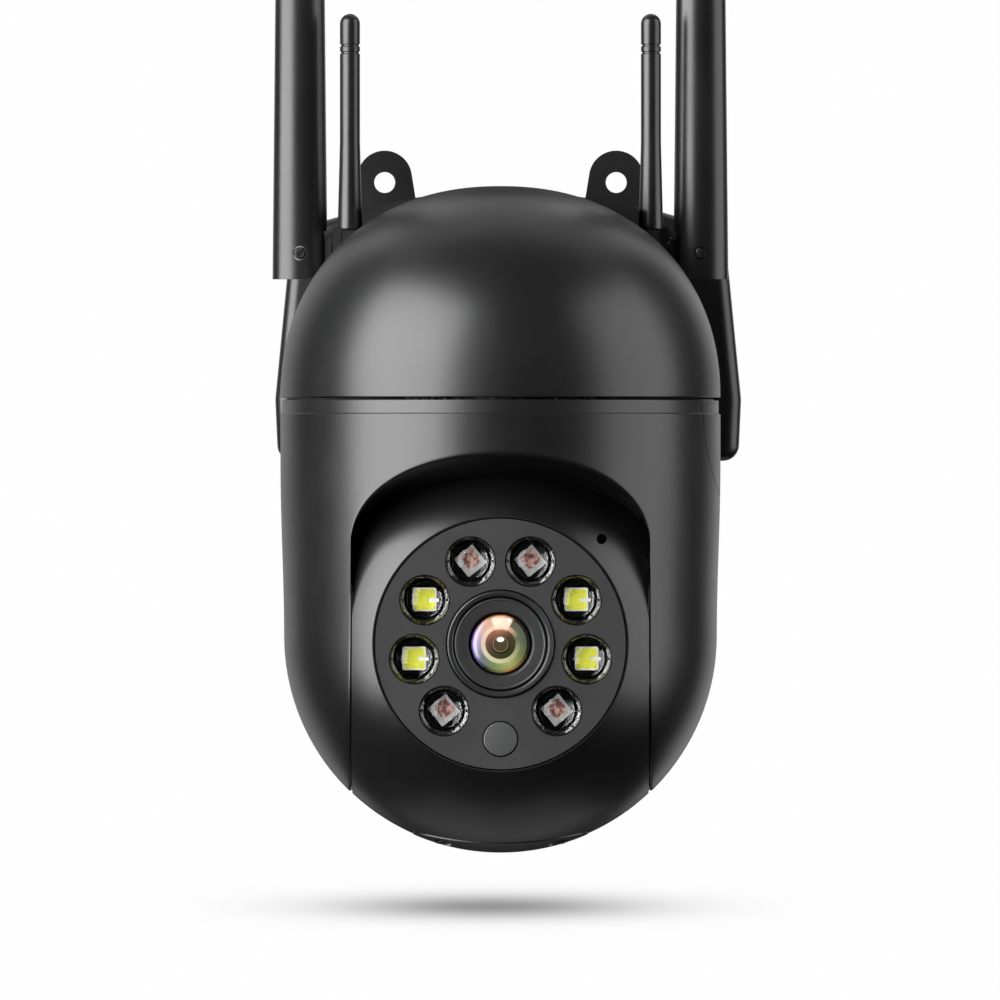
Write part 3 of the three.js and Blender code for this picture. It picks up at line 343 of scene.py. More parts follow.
def opening_edge():
    """Half of the lower edge of the shell, from the arch's crown by the right arm to the back."""
    t = np.linspace(0, 1, 80)[:, None]
    crown, pull = np.array([0, ARCH_TOP]), np.array([20, ARCH_TOP])
    shoulder, lift = np.array([SLOT_HALF, ARCH_SHOULDER]), np.array([-1.1, 10.3])
    arch = (1 - t) ** 3 * crown + 3 * t * (1 - t) ** 2 * pull
    arch = arch + 3 * t * t * (1 - t) * (shoulder + lift) + t**3 * shoulder
    drop = np.stack((np.full(20, SLOT_HALF), np.linspace(ARCH_SHOULDER, TILT_Z, 21)[1:]), -1)
    front = on_wall(np.concatenate((arch, drop)), -1)
    reach = math.sqrt(LOW_R**2 - SLOT_HALF**2)
    swing = np.linspace(0, math.pi, 90)[1:]
    tip = np.column_stack((np.full(89, SLOT_HALF), -reach * np.cos(swing), TILT_Z - reach * np.sin(swing)))
    rear = rounded([[SLOT_HALF, TILT_Z, 0], [SLOT_HALF, REAR_SLOT_Z, 2.5], [0, REAR_SLOT_Z, 0]], steps=8)[1:]
    across = np.column_stack((np.linspace(rear[-2, 0], 0, 30)[1:], np.full(29, REAR_SLOT_Z)))
    return np.concatenate((front, tip, on_wall(np.concatenate((rear[:-1], across)), 1)))


def resampled(path, count):
    length = np.concatenate(([0], np.cumsum(np.linalg.norm(np.diff(path, axis=0), axis=1))))
    even = np.linspace(0, length[-1], count)
    return np.column_stack([np.interp(even, length, path[:, k]) for k in range(3)])


def on_body(turn, z, inset=0.0):
    radius = body_radius(z) - inset
    return np.stack((radius * np.sin(turn), -radius * np.cos(turn), z), -1)


half = resampled(opening_edge(), 241)
edge = np.concatenate((half, half[-2:0:-1] * (-1, 1, 1)))
edge_turn = np.arctan2(edge[:, 0], -edge[:, 1])
edge_turn = np.where((edge_turn < 0), edge_turn + 2 * math.pi, edge_turn)
count = len(edge)
arm_from = int(np.argmax(half[:, 2] <= ARCH_SHOULDER))
arm_to = int(np.argmax((half[:, 1] > 0) & (half[:, 2] > REAR_SLOT_Z - 0.4)))
half_turn = np.arctan2(half[:, 0], -half[:, 1])
top_half = half_turn.copy()
even = np.linspace(half_turn[arm_from], half_turn[arm_to], arm_to + 1 - arm_from)
top_half[arm_from : arm_to + 1] = even
top_turn = np.concatenate((top_half, 2 * math.pi - top_half[-2:0:-1]))

inward = np.zeros((count, 3))
ball_part = edge[:, 2] < TILT_Z
inward[:, 1] = np.where(edge[:, 1] < 0, 1.0, -1.0)
inward[ball_part, 1] = -edge[ball_part, 1]
inward[ball_part, 2] = TILT_Z - edge[ball_part, 2]
arch_part = (edge[:, 1] < 0) & (edge[:, 2] > ARCH_SHOULDER)
arch_share = np.clip((edge[:, 2] - ARCH_SHOULDER) / (ARCH_TOP - ARCH_SHOULDER), 0, 1)
inward[arch_part, 2] = -0.31 * (0.6 * np.minimum(1, arch_share * 3) + 0.4 * arch_share)[arch_part]
inward /= np.linalg.norm(inward, axis=1)[:, None]

depth = np.full(count, LIP_DEPTH)
beside = np.abs(edge[:, 0]) > SLOT_HALF - 0.1
behind = (edge[:, 1] > 0) & (edge[:, 2] > TILT_Z)
for i in np.flatnonzero((edge[:, 2] > TILT_Z) & ~(behind & beside)):
    reach = 0.0
    room = REAR_ROOM if behind[i] else BALL_ROOM
    while reach < MOST_DEPTH and np.linalg.norm(edge[i] + inward[i] * reach - (0, 0, TILT_Z)) > room:
        reach += 0.1
    depth[i] = max(LIP_R + 0.15, min(LIP_DEPTH, reach)) if behind[i] else max(LIP_DEPTH, reach)

top_z = BAND_Z - 0.35
ring = lambda radius, z: np.stack((radius * np.sin(top_turn), -radius * np.cos(top_turn), np.full(count, z)), -1)
band = [[BAND_R - PAN_WALL, RIM_Z, 0], [BAND_R, RIM_Z, 0.3], [BAND_R, BAND_Z, 0.12]]
band = rounded([*band, [BODY_R, BAND_Z, 0.25], [BODY_R, top_z, 0]], steps=4)
loops = [ring(radius, z) for radius, z in band]
fall = np.linalg.norm(edge - ring(BODY_R, top_z), axis=1)
for s in np.linspace(0, 1, 44)[1:]:
    share = s * (1 - LIP_R / fall)
    z = top_z + (edge[:, 2] - top_z) * share
    loops.append(on_body(top_turn + (edge_turn - top_turn) * share, z))
start, end = loops[-1], edge + inward * LIP_R
for t in np.linspace(0, 1, 6)[1:]:
    loops.append((1 - t) ** 2 * start + 2 * t * (1 - t) * edge + t * t * end)
for share in (0.3, 0.6, 1.0):
    loops.append(edge + inward * (LIP_R + (depth - LIP_R) * share)[:, None])
lift = np.where(arch_part, 1.6 * np.minimum(1, arch_share * 4), 0)
inner_end = loops[-1] + np.column_stack((np.zeros(count), np.zeros(count), lift))
loops.append(inner_end)
inner_turn = np.where(arch_part, edge_turn, np.arctan2(inner_end[:, 0], -inner_end[:, 1]) % (2 * math.pi))
for s in np.linspace(0, 1, 14)[1:]:
    z = inner_end[:, 2] + (RIM_Z - inner_end[:, 2]) * s
    z = np.where(arch_part, np.maximum(z, edge[:, 2] + lift + 0.01 * s), z)
    inset = PAN_WALL + np.where(arch_part, 0, (1 - s) * INNER_SLACK)
    clear = body_radius(z) - np.sqrt(np.clip(REAR_ROOM**2 - (z - TILT_Z) ** 2, 0, None))
    inset = np.where(behind & ~beside, np.minimum(inset, clear), inset)
    row = on_body(inner_turn + (top_turn - inner_turn) * s, z, inset)
    arm = behind & beside & (z < REAR_SLOT_Z + 4)
    row[arm, 0] = np.sign(row[arm, 0]) * np.maximum(np.abs(row[arm, 0]), SLOT_HALF + 0.45)
    loops.append(row)
loops[-1] = ring(BAND_R - PAN_WALL, RIM_Z)
pan_skin = skin("pan_body_skin", np.array(loops) + (0, PAN_Y, 0))
shade(pan_skin)

SIDE_COVER_R = 18.6
SIDE_COVER_Z = -2.7


def side_plug(name, grow, top, core_r):
    """U-shaped plug through the right wall, with its back hollowed to a radius."""
    reach = SIDE_COVER_R + grow
    turns = np.linspace(math.pi, 2 * math.pi, 60)
    path = [(reach * math.cos(a), SIDE_COVER_Z + reach * math.sin(a)) for a in turns]
    path += [(reach, top), (-reach, top)]
    plug = skin(name, [[(x, PAN_Y + y, z) for y, z in path] for x in (20, 50.5)], capped=True)
    return boolean(plug, [cylinder("core", core_r, -40, 6, "z", (0, PAN_Y, 0), SEGMENTS)])


cuts = [side_plug("recess", 0.22, 0.5, 46.5)]
for x in (-8, -4, 0, 4, 8):
    ends = ((x - 0.8, -20), (x + 0.8, -20), (x + 0.8, -10), (x - 0.8, -10))
    slot = rounded([[*end, 0.79] for end in ends], closed=True)
    cuts.append(prism("slot", slot, (PAN_Y + 42, PAN_Y + 50)))
boolean(pan_skin, cuts)
fit(pan_skin, "pan_body", black_abs, "black_plastic", "pan_shell")

# ---------------------------------------------------------------- side access cover
# A thin clip-in cover on the right of the pan body, over the network socket and wiring. It is moulded
# from the same black ABS, follows the body's curve flush, and shows only its U-shaped parting line.
plug = side_plug("side_cover_skin", -0.02, -0.42, 46.75)
heights = np.concatenate((np.linspace(-24, -3.45, 30), [BAND_Z - 0.25, BAND_Z, 0.4]))
around = [[float(body_radius(z)) if z < BAND_Z - 0.1 else BAND_R, z] for z in heights]
around = turned("around", [[0, -24], *around, [0, 0.4]], "z", (0, PAN_Y, 0), SEGMENTS)
boolean(plug, [around], "INTERSECT")
fit(plug, "pan_body", black_abs, "black_plastic", "side_access_cover")

# ---------------------------------------------------------------- head shells
# The tilting eye: a ball sliced flat at both sides to fit between the yoke arms, moulded as a front
# and a rear half that meet behind the trunnions. The front half has the round seat for the panel.
# Everything in the head is drawn looking level and then pitched 2.4 degrees down.
BALL_R = 47.1
HEAD_HALF = 32.3
HEAD_WALL = 2.2
HEAD_SPLIT = 14.0
FACE_RIM_R = 27.9
FACE_Y = -math.sqrt(BALL_R**2 - FACE_RIM_R**2)
PANEL_R = 27.25
HEAD_PITCH = math.radians(2.4)
SIDE_EDGE_R = 0.5
SEAM = 0.01
SEAT_R = 27.55
SEAT_LIP_R = 25.65
ROOM_R = 30.9
TRUNNION_R = 5.7


def in_head(obj):
    """Moves a mesh drawn about the tilt axis to its place in the pitched head."""
    place = Matrix.Translation((0, PAN_Y * 0.001, TILT_Z * 0.001)) @ Matrix.Rotation(HEAD_PITCH, 4, "X")
    obj.data.transform(place)
    obj.data.update()
    return obj


def ball_points(radius, start, end, steps=64):
    """[radius, y] points on a ball about the origin, between two heights along Y."""
    swing = np.linspace(math.asin(start / radius), math.asin(end / radius), steps)
    return [[radius * math.cos(a), radius * math.sin(a)] for a in swing]


def sliced(name, profile, half):
    """Solid turned about Y and sliced flat at both sides."""
    slab = prism("slab", ((half, -60), (half, 60), (-half, 60), (-half, -60)), (-60, 60))
    return boolean(turned(name, profile, "y", segments=240), [slab], "INTERSECT")


INNER_R = BALL_R - HEAD_WALL
SEAT_Y = FACE_Y + 3.4
front = [[0, FACE_Y], *ball_points(BALL_R, FACE_Y, HEAD_SPLIT - SEAM), [0, HEAD_SPLIT - SEAM]]
front_shell = bevelled(sliced("head_front_skin", front, HEAD_HALF), SIDE_EDGE_R, 3, 30)
room = [[0, -60], [SEAT_R, -60], [SEAT_R, SEAT_Y], [SEAT_LIP_R, SEAT_Y], [SEAT_LIP_R, SEAT_Y + 2]]
room += [[ROOM_R, SEAT_Y + 2], *ball_points(INNER_R, SEAT_Y + 2.1, HEAD_SPLIT + 2), [0, HEAD_SPLIT + 2]]
cuts = [sliced("room", room, HEAD_HALF - HEAD_WALL)]
cuts.append(cylinder("trunnion", TRUNNION_R, -40, 40, "x"))
cuts.append(cylinder("mic", 1.1, -45, -26, "y", (22, 0, 22.7), 32))
boolean(front_shell, cuts)

COVER_Y = -5.6
COVER_X = 19.2
COVER_DEEP = 10.0


def belly(name, grow):
    """Upright oval prism under the head, the outline of the card cover."""
    turn = np.linspace(0, 2 * math.pi, 120, endpoint=False)
    x, y = (COVER_X + grow) * np.cos(turn), COVER_Y + (COVER_DEEP + grow) * np.sin(turn)
    return skin(name, [np.stack((x, y, np.full(120, z)), -1) for z in (-48.5, -40.0)], capped=True)


def globe(name, radius):
    swing = np.linspace(-math.pi / 2, math.pi / 2, 97)
    profile = [[radius * math.cos(a), radius * math.sin(a)] for a in swing]
    profile[0][0] = profile[-1][0] = 0
    return turned(name, profile, "y", segments=160)


boolean(front_shell, [boolean(belly("pocket", 0.3), [globe("pocket_floor", 45.6)])])
fit(in_head(front_shell), "head", black_abs, "black_plastic", "head_front_shell", angle=30)

rear = [[0, HEAD_SPLIT + SEAM], *ball_points(BALL_R, HEAD_SPLIT + SEAM, BALL_R)]
rear[-1][0] = 0
rear_shell = bevelled(sliced("head_rear_skin", rear, HEAD_HALF), SIDE_EDGE_R, 3, 30)
room = [[0, HEAD_SPLIT - 2], *ball_points(INNER_R, HEAD_SPLIT - 2, INNER_R)]
room[-1][0] = 0
cuts = [sliced("room", room, HEAD_HALF - HEAD_WALL), cylinder("trunnion", TRUNNION_R, -40, 40, "x")]
boolean(rear_shell, cuts)
fit(in_head(rear_shell), "head", black_abs, "black_plastic", "head_rear_shell", angle=30)

# ---------------------------------------------------------------- tilt glide rings
# A thin ring of near-black felt on each flat side of the head: a dark sheet that fills the narrow gap to
# the yoke arm and stands in for the shade in it. It keeps dust out and slides on the arm as the head tilts.
RING_R = (30.5, 33.7)
RING_X = (32.32, 32.5)
SIDES = ((-1, "left"), (1, "right"))

felt = Finish("gap_shade_felt")
fibre = felt.noise(felt.place(scale=(1, 1, 3)), 5.0, 5.0, 0.7)
# Painted shade: this near-black felt makes the gap beside the head read as dark shade.
gap_shade_felt = felt.surface(
    Base_Color=felt.mix(fibre, (0.003, 0.003, 0.003), (0.009, 0.009, 0.009)),
    Roughness=0.85 + fibre * 0.12,
    Sheen_Weight=0.15,
    Normal=felt.bump(fibre, 0.00006),
)
for side, word in SIDES:
    low, high = side * RING_X[0], side * RING_X[1]
    strip = [[RING_R[0], low], [RING_R[1], low], [RING_R[1], high], [RING_R[0], high]]
    fit(in_head(turned("tilt_glide_ring_" + word, strip, "x", segments=144)), "head", gap_shade_felt, "rubber")

# ---------------------------------------------------------------- card cover
# An oval cover under the head, over the memory card slot and the reset button: a thin curved shell of
# the same plastic, a touch proud of the ball with a raised rim, held by two small cross-head screws.
COVER_R = 47.25
COVER_BACK_R = 46.05
SCREW_X = 12.4
SCREW_Y = -8.0
CROSS_LONG = 0.546
CROSS_WIDE = 0.16


def mottled(name, dark, light, scale, rough, detail=4.0, edges=None, bumps=None, grain=None, **sockets):
    """Two-tone finish: one noise carries its tone, its roughness (low, spread) and a faint bump."""
    finish = Finish(name)
    at = finish.place()
    fleck = finish.noise(at, scale, detail)
    tone = finish.mix(fleck.between(*edges) if edges else fleck, dark, light)
    if bumps:
        sockets["Normal"] = finish.bump(fleck, *bumps)
    if grain:
        sockets["Normal"] = finish.bump(finish.noise(at, scale * 4, 3.0), grain)
    return finish.surface(Base_Color=tone, Roughness=fleck * rough[1] + rough[0], **sockets)


cover = belly("card_cover_skin", 0.0)
boolean(cover, [globe("cover_face", COVER_R)], "INTERSECT")
boolean(cover, [globe("cover_back", COVER_BACK_R)])
sink = [[0, -49], [2.35, -49], [2.35, -44.3], [1.2, -44.3], [1.2, -41], [0, -41]]
boolean(cover, [turned("sink", sink, "z", (side * SCREW_X, SCREW_Y, 0), 40) for side in (-1, 1)])
fit(in_head(bevelled(cover, 0.14, 2, 40)), "head", black_abs, "black_plastic", "card_cover")

zinc = Finish("zinc_plated_steel")
at = zinc.place()
blotch = zinc.noise(at, 0.8, 4.0)
turning = zinc.noise(zinc.place(scale=(1, 1, 12)), 1.4, 2.0)
tone = zinc.mix(blotch, (0.36, 0.37, 0.39), (0.56, 0.56, 0.55))
zinc_steel = zinc.surface(
    Base_Color=tone, Metallic=1.0, Roughness=0.24 + blotch * 0.2, Normal=zinc.bump(turning, 0.00001, 0.6)
)

dark, light = (0.02, 0.02, 0.022), (0.09, 0.088, 0.085)
black_screw = mottled(
    "black_zinc_screw", dark, light, 1.1, (0.3, 0.22), edges=(0.4, 0.75), bumps=(0.00001, 0.6), Metallic=0.85
)


def cross_screw(name, head_r, shank_r, head, tip, seat, centre):
    """Pan-head screw from its domed face at head, with a cross recess, up to its tip."""
    profile = [[0, head], [head_r * 0.55, head + 0.1], [head_r * 0.86, head + 0.3], [head_r, head + 0.65]]
    profile += [[head_r, seat], [shank_r, seat], [shank_r, tip - 0.4], [shank_r * 0.5, tip], [0, tip]]
    made = turned(name, profile, "z", centre, 40)
    long, wide = CROSS_LONG * head_r, CROSS_WIDE * head_r
    for across, along in ((long, wide), (wide, long)):
        x, z = (centre[0] - across, centre[0] + across), (centre[2] + head - 0.6, centre[2] + head + 0.6)
        flat = ((x[0], z[0]), (x[1], z[0]), (x[1], z[1]), (x[0], z[1]))
        boolean(made, [prism("cross", flat, (centre[1] - along, centre[1] + along))])
    return made


for side, word in SIDES:
    screw = cross_screw("cover_screw_" + word, 2.0, 0.9, -45.1, -40.0, -44.4, (side * SCREW_X, SCREW_Y, 0))
    fit(in_head(screw), "head", black_screw, "steel", "card_cover_screw_" + word)

# ---------------------------------------------------------------- front panel
# A flat disc that fills the head's round seat, moulded in matt dark grey and finely eroded, with a
# hole for the lens, eight lamp bores and the light sensor's window. It is glued on its gasket.
LAMP_CIRCLE = 19.05
LAMP_BORE = 5.55
WHITE_LAMPS = (30, 150, 190, 350)
DARK_LAMPS = (70, 110, 230, 310)
LENS_HOLE_R = 11.9
PANEL_THICK = 1.8
WINDOW_Z = -20.7
WINDOW_R = 3.7

matt_grey = moulded("matt_grey_panel", (0.0185, 0.0187, 0.0194), 0.5, 2.2, 0.07)
PANEL_BACK = FACE_Y + PANEL_THICK
section = [[LENS_HOLE_R, FACE_Y], [PANEL_R, FACE_Y], [PANEL_R, PANEL_BACK], [LENS_HOLE_R, PANEL_BACK]]
panel = turned("panel_skin", section, "y", segments=160)


def lamp_places(lamps=sorted(WHITE_LAMPS + DARK_LAMPS), y=FACE_Y):
    turns = [math.radians(lamp) for lamp in lamps]
    return [(LAMP_CIRCLE * math.cos(turn), y, LAMP_CIRCLE * math.sin(turn)) for turn in turns]


bores = [cylinder("bore", LAMP_BORE, -45, -30, "y", place, 72) for place in lamp_places(y=0)]
bores.append(cylinder("bore", WINDOW_R + 0.25, -45, -30, "y", (0, 0, WINDOW_Z), 64))
boolean(panel, bores)
fit(in_head(bevelled(panel, 0.17, 3, 40)), "head", matt_grey, "panel_plastic", "front_panel", angle=50)

window = rounded([[0, FACE_Y + 0.02, 0], [WINDOW_R, FACE_Y + 0.1, 0.25], [WINDOW_R, PANEL_BACK, 0]])
disc = turned("sensor_window_skin", [*window, [0, PANEL_BACK]], "y", (0, 0, WINDOW_Z), 64)
dark, light = (0.05, 0.051, 0.052), (0.064, 0.064, 0.065)
smoked_window = mottled("smoked_window", dark, light, 1.9, (0.3, 0.12), bumps=(0.00001, 0.5), Coat_Weight=0.25)
fit(in_head(disc), "head", smoked_window, "panel_plastic", "light_sensor_window")

# ---------------------------------------------------------------- lamps
# Eight lamps sit in deep gloss-black cups: four white ones with a yellow phosphor square and four
# infra-red ones whose square package stands on its corner. Each has a clear moulded lens dome over
# it. One cup and one package of each kind are made and set round the panel by a node tree; each
# lens dome is made on its own.
gloss = Finish("gloss_black_cup")
at = gloss.place()
ripple, smudge = gloss.noise(at, 0.7, 2.0), gloss.noise(at, 0.25, 3.0)
gloss_black = gloss.surface(
    Base_Color=gloss.mix(smudge, (0.003, 0.003, 0.0034), (0.007, 0.007, 0.007)),
    Roughness=0.09 + smudge * 0.1,
    IOR=1.34,
    Normal=gloss.bump(ripple, 0.00002, 0.5),
)


def ring_tree():
    """Sets a piece on each point of a mesh, scaled, and gives the result its material."""
    tree = bpy.data.node_groups.new("set_round_the_panel", "GeometryNodeTree")
    for socket, kind in (("Places", "Geometry"), ("Piece", "Object"), ("Finish", "Material"), ("Size", "Float")):
        tree.interface.new_socket(socket, in_out="INPUT", socket_type="NodeSocket" + kind)
    tree.interface.new_socket("Made", in_out="OUTPUT", socket_type="NodeSocketGeometry")
    start, end = tree.nodes.new("NodeGroupInput"), tree.nodes.new("NodeGroupOutput")
    kinds = ("ObjectInfo", "InputNamedAttribute", "InstanceOnPoints", "RealizeInstances", "SetMaterial")
    info, turns, spread, real, paint = (tree.nodes.new("GeometryNode" + kind) for kind in kinds)
    turns.data_type = "FLOAT_VECTOR"
    turns.inputs["Name"].default_value = "turn"
    wires = (
        (start, "Places", spread, "Points"),
        (start, "Piece", info, "Object"),
        (info, "Geometry", spread, "Instance"),
        (turns, "Attribute", spread, "Rotation"),
        (start, "Size", spread, "Scale"),
        (spread, "Instances", real, "Geometry"),
        (real, "Geometry", paint, "Geometry"),
        (start, "Finish", paint, "Material"),
        (paint, "Geometry", end, "Made"),
    )
    for source, output, target, entry in wires:
        tree.links.new(source.outputs[output], target.inputs[entry])
    return tree


set_round = ring_tree()


def set_on(name, places, pattern, material, turn=0.0, size=1.0):
    """Plain mesh of the pattern piece repeated at each place; the pattern itself is removed."""
    mesh = bpy.data.meshes.new(name)
    mesh.from_pydata([tuple(0.001 * c for c in place) for place in places], [], [])
    spins = mesh.attributes.new("turn", "FLOAT_VECTOR", "POINT")
    spins.data.foreach_set("vector", np.array([(0, turn, 0)] * len(places), np.float32).ravel())
    obj = in_scene(name, mesh)
    step = obj.modifiers.new("set", "NODES")
    step.node_group = set_round
    values = {"Piece": pattern, "Finish": material, "Size": size}
    for item in set_round.interface.items_tree:
        if item.in_out == "INPUT" and item.name in values:
            step[item.identifier] = values[item.name]
    applied(obj)
    bpy.data.objects.remove(pattern)
    return obj


def lamp_pieces(name, pattern, material, slot, lamps=None, turn=0.0):
    places = lamp_places(lamps) if lamps else lamp_places()
    fit(in_head(set_on(name, places, pattern, material, turn)), "head", material, slot)


CUP_R = 5.5
CUP_LIP = 0.12
CUP_DEEP = 5.0
KNOB_CIRCLE = 4.72
inside = [[4.0, CUP_DEEP, 0], [4.0, 3.9, 0.2], [4.35, 3.3, 0.4], [4.9, 1.2, 1.0]]
inside = rounded([*inside, [5.25, CUP_LIP, 0.1], [CUP_R, CUP_LIP, 0]], steps=5)
cup = turned("cup", [*inside, [CUP_R, CUP_DEEP]], "y", segments=72)
lamp_pieces("lamp_cups", cup, gloss_black, "panel_plastic")
knobs = [(KNOB_CIRCLE * math.cos(a), 1.5, KNOB_CIRCLE * math.sin(a)) for a in np.radians(range(0, 360, 45))]
knob = turned("knob", [[0, -0.5], [0.2, -0.35], [0.3, 0.0], [0.3, 1.4], [0, 1.4]], "y", segments=12)
knob_ring = set_on("knob_ring", knobs, knob, gloss_black)
lamp_pieces("lamp_cup_knobs", knob_ring, gloss_black, "panel_plastic")

LAMP_LENS_R = 3.9
rough, bumps, light = (0.01, 0.03), (0.000004, 0.3), (1.0, 1.0, 1.0)
clear_resin = mottled(
    "clear_lamp_lens", (0.93, 0.94, 0.94), light, 0.6, rough, 2.0, bumps=bumps, Transmission_Weight=1.0, IOR=1.3
)
curve = [[LAMP_LENS_R * math.sin(a), 2.85 - 2.3 * math.cos(a)] for a in np.linspace(0, math.pi / 2, 25)]
curve += [[LAMP_LENS_R, 3.55], [3.7, 3.75], [0, 3.75]]
for number, place in enumerate(lamp_places(), 1):
    lens = turned("lamp_lens_skin_%d" % number, curve, "y", place, 56)
    fit(in_head(lens), "head", clear_resin, "clear_resin", "led_lens_%d" % number)


def slab(name, across, up, thick, y, corner, shift=(0, 0)):
    """Thin rounded plate facing the front, behind the origin, with its middle shifted in mm."""
    corners = ((across, -up), (across, up), (-across, up), (-across, -up))
    plate = prism(name, rounded([[*spot, corner] for spot in corners], closed=True), (y, y + thick))
    plate.data.transform(Matrix.Translation((shift[0] * 0.001, 0, shift[1] * 0.001)))
    return plate


LAMP_BACK = 3.86
PACKAGE_HALF = 2.2
PHOSPHOR_HALF = 1.95
CHIP_HALF = 1.5
CORNER_TURN = math.radians(51)
ceramic_white = mottled("white_lamp_package", (0.62, 0.61, 0.58), (0.86, 0.85, 0.82), 3.0, (0.3, 0.2), 3.0)
yellow = mottled("yellow_phosphor", (0.56, 0.58, 0.02), (0.78, 0.78, 0.07), 4.0, (0.45, 0.15), edges=(0.3, 0.7))
silver_frame = mottled("silvered_frame", (0.55, 0.55, 0.56), (0.88, 0.88, 0.87), 2.2, (0.14, 0.2), 3.0, Metallic=0.55)
rose_chip = mottled("rose_chip", (0.11, 0.035, 0.022), (0.5, 0.3, 0.26), 1.4, (0.25, 0.2), 3.0, (0.38, 0.62))

seat = [[0, 0.16], [3.3, 0.16], [3.6, 0.04], [3.75, 0.28], [0, 0.28]]
seat = turned("seat", [[radius, LAMP_BACK + back] for radius, back in seat], "y", segments=48)
lamp_pieces("lamp_seats", seat, gloss_black, "black_plastic")
lead = slab("lead", 0.5, 0.32, 0.1, LAMP_BACK + 0.02, 0.1, (2.2, -0.1))
lamp_pieces("white_lamp_leads", lead, ceramic_white, "white_nylon", WHITE_LAMPS)
package = slab("package", PACKAGE_HALF, PACKAGE_HALF, 0.1, LAMP_BACK + 0.05, 0.5)
lamp_pieces("white_lamp_packages", package, ceramic_white, "white_nylon", WHITE_LAMPS)
glow = slab("phosphor", PHOSPHOR_HALF, PHOSPHOR_HALF, 0.05, LAMP_BACK, 0.5)
boolean(glow, [slab("notch", 0.9, 0.36, 1.0, LAMP_BACK - 0.5, 0.1, (1.6, -0.1))])
lamp_pieces("lamp_phosphors", glow, yellow, "white_nylon", WHITE_LAMPS)
package = slab("package", PACKAGE_HALF, PACKAGE_HALF, 0.1, LAMP_BACK + 0.05, 0.35)
lamp_pieces("infra_red_packages", package, silver_frame, "steel", DARK_LAMPS, CORNER_TURN)
well = slab("well", CHIP_HALF, CHIP_HALF, 0.05, LAMP_BACK, 0.45, (-0.25, 0.25))
lamp_pieces("infra_red_chips", well, rose_chip, "board", DARK_LAMPS, CORNER_TURN)

# ---------------------------------------------------------------- lens
# A small board lens: an anodised-look black trim ring pressed into the panel, the barrel's flat front
# inside it with a narrow dark groove between, and a ground front element whose coating reflects orange,
# violet and green round a dark centre, painted into its colour as painted reflections and highlights.
TRIM_R = (10.3, 11.6)
trim = [[TRIM_R[0], 5, 0], [TRIM_R[0], -0.2, 0.12], [10.6, -0.5, 0.15], [11.35, -0.6, 0.2]]
trim += [[TRIM_R[1], -0.35, 0.12], [TRIM_R[1], 5, 0]]
trim = rounded([[radius, FACE_Y + y, bend] for radius, y, bend in trim], steps=5)
ring = turned("trim_ring_skin", trim, "y", segments=160)
lens_black = moulded("fine_black_lens_ring", (0.012, 0.0122, 0.013), 0.36, 1.0, 0.05)
fit(in_head(ring), "head", lens_black, "black_plastic", "lens_trim_ring", angle=60)

FRONT = FACE_Y - 0.25
barrel = [[9.97, 5.15, 0], [9.97, 0, 0.18], [9.6, -0.02, 0.1], [9.45, 0.1, 0.05], [7.3, 0.1, 0.12], [7.0, 0.5, 0.1]]
barrel += [[6.85, 1.5, 0.1], [6.7, 3.9, 0], [5.4, 3.9, 0], [5.4, 22.15, 0], [7.0, 22.15, 0], [7.0, 5.15, 0]]
barrel = rounded([[radius, FRONT + y, bend] for radius, y, bend in barrel], steps=4)
tube = turned("lens_barrel_skin", barrel, "y", segments=160)
barrel_finish = moulded("matt_black_barrel", (0.016, 0.0162, 0.017), 0.42, 1.4, 0.06)
fit(in_head(tube), "head", barrel_finish, "black_plastic", "lens_barrel", angle=50)

GLASS_R = 6.4
bulge = [[GLASS_R * math.sin(a), FRONT + 1.6 - 1.2 * math.cos(a)] for a in np.linspace(0, math.pi / 2, 33)]
front_glass = turned("lens_glass_skin", [*bulge, [GLASS_R, FRONT + 3.6], [0, FRONT + 3.6]], "y", segments=96)
coat = Finish("coated_glass")
coords = coat.place((0, PAN_Y + FACE_Y * math.cos(HEAD_PITCH), TILT_Z + FACE_Y * math.sin(HEAD_PITCH)))
split = coat.add("ShaderNodeSeparateXYZ", {}, {0: coords})
across, up = split[0] / GLASS_R, split[2] / GLASS_R
reach = (across * across + up * up) ** 0.5
turn = up.maths("ARCTAN2", across) / (2 * math.pi) + 0.5
# Painted reflection: these ramps paint the coating's coloured reflections of the lights into the glass colour, by the
# angle round the lens.
ramp = lambda stops: coat.add("ShaderNodeValToRGB", {"stops": stops}, {0: turn})[0]
outer_band = ramp((
    (0.0, (0.22, 0.13, 0.5)), (0.09, (0.12, 0.09, 0.28)), (0.16, (0.035, 0.045, 0.03)),
    (0.24, (0.16, 0.19, 0.06)), (0.31, (0.62, 0.3, 0.08)), (0.38, (0.3, 0.19, 0.03)),
    (0.45, (0.012, 0.012, 0.008)), (0.58, (0.01, 0.01, 0.01)), (0.66, (0.05, 0.02, 0.008)),
    (0.72, (0.5, 0.2, 0.07)), (0.84, (0.48, 0.2, 0.09)), (0.92, (0.17, 0.1, 0.36)),
    (1.0, (0.22, 0.13, 0.5)),
))
middle_band = ramp((
    (0.0, (0.24, 0.19, 0.32)), (0.1, (0.1, 0.12, 0.13)), (0.2, (0.14, 0.19, 0.09)),
    (0.32, (0.36, 0.38, 0.13)), (0.42, (0.17, 0.21, 0.08)), (0.52, (0.1, 0.13, 0.08)),
    (0.62, (0.1, 0.11, 0.075)), (0.668, (0.1, 0.09, 0.06)), (0.68, (0.85, 0.55, 0.39)),
    (0.795, (0.85, 0.62, 0.48)), (0.815, (0.5, 0.29, 0.2)), (0.9, (0.42, 0.26, 0.24)),
    (0.96, (0.3, 0.21, 0.32)), (1.0, (0.24, 0.19, 0.32)),
))
cream_band = ramp((
    (0.0, (0.42, 0.35, 0.26)), (0.25, (0.5, 0.47, 0.27)), (0.4, (0.34, 0.34, 0.17)),
    (0.55, (0.1, 0.12, 0.07)), (0.68, (0.55, 0.33, 0.22)), (0.85, (0.6, 0.4, 0.3)),
    (1.0, (0.42, 0.35, 0.26)),
))
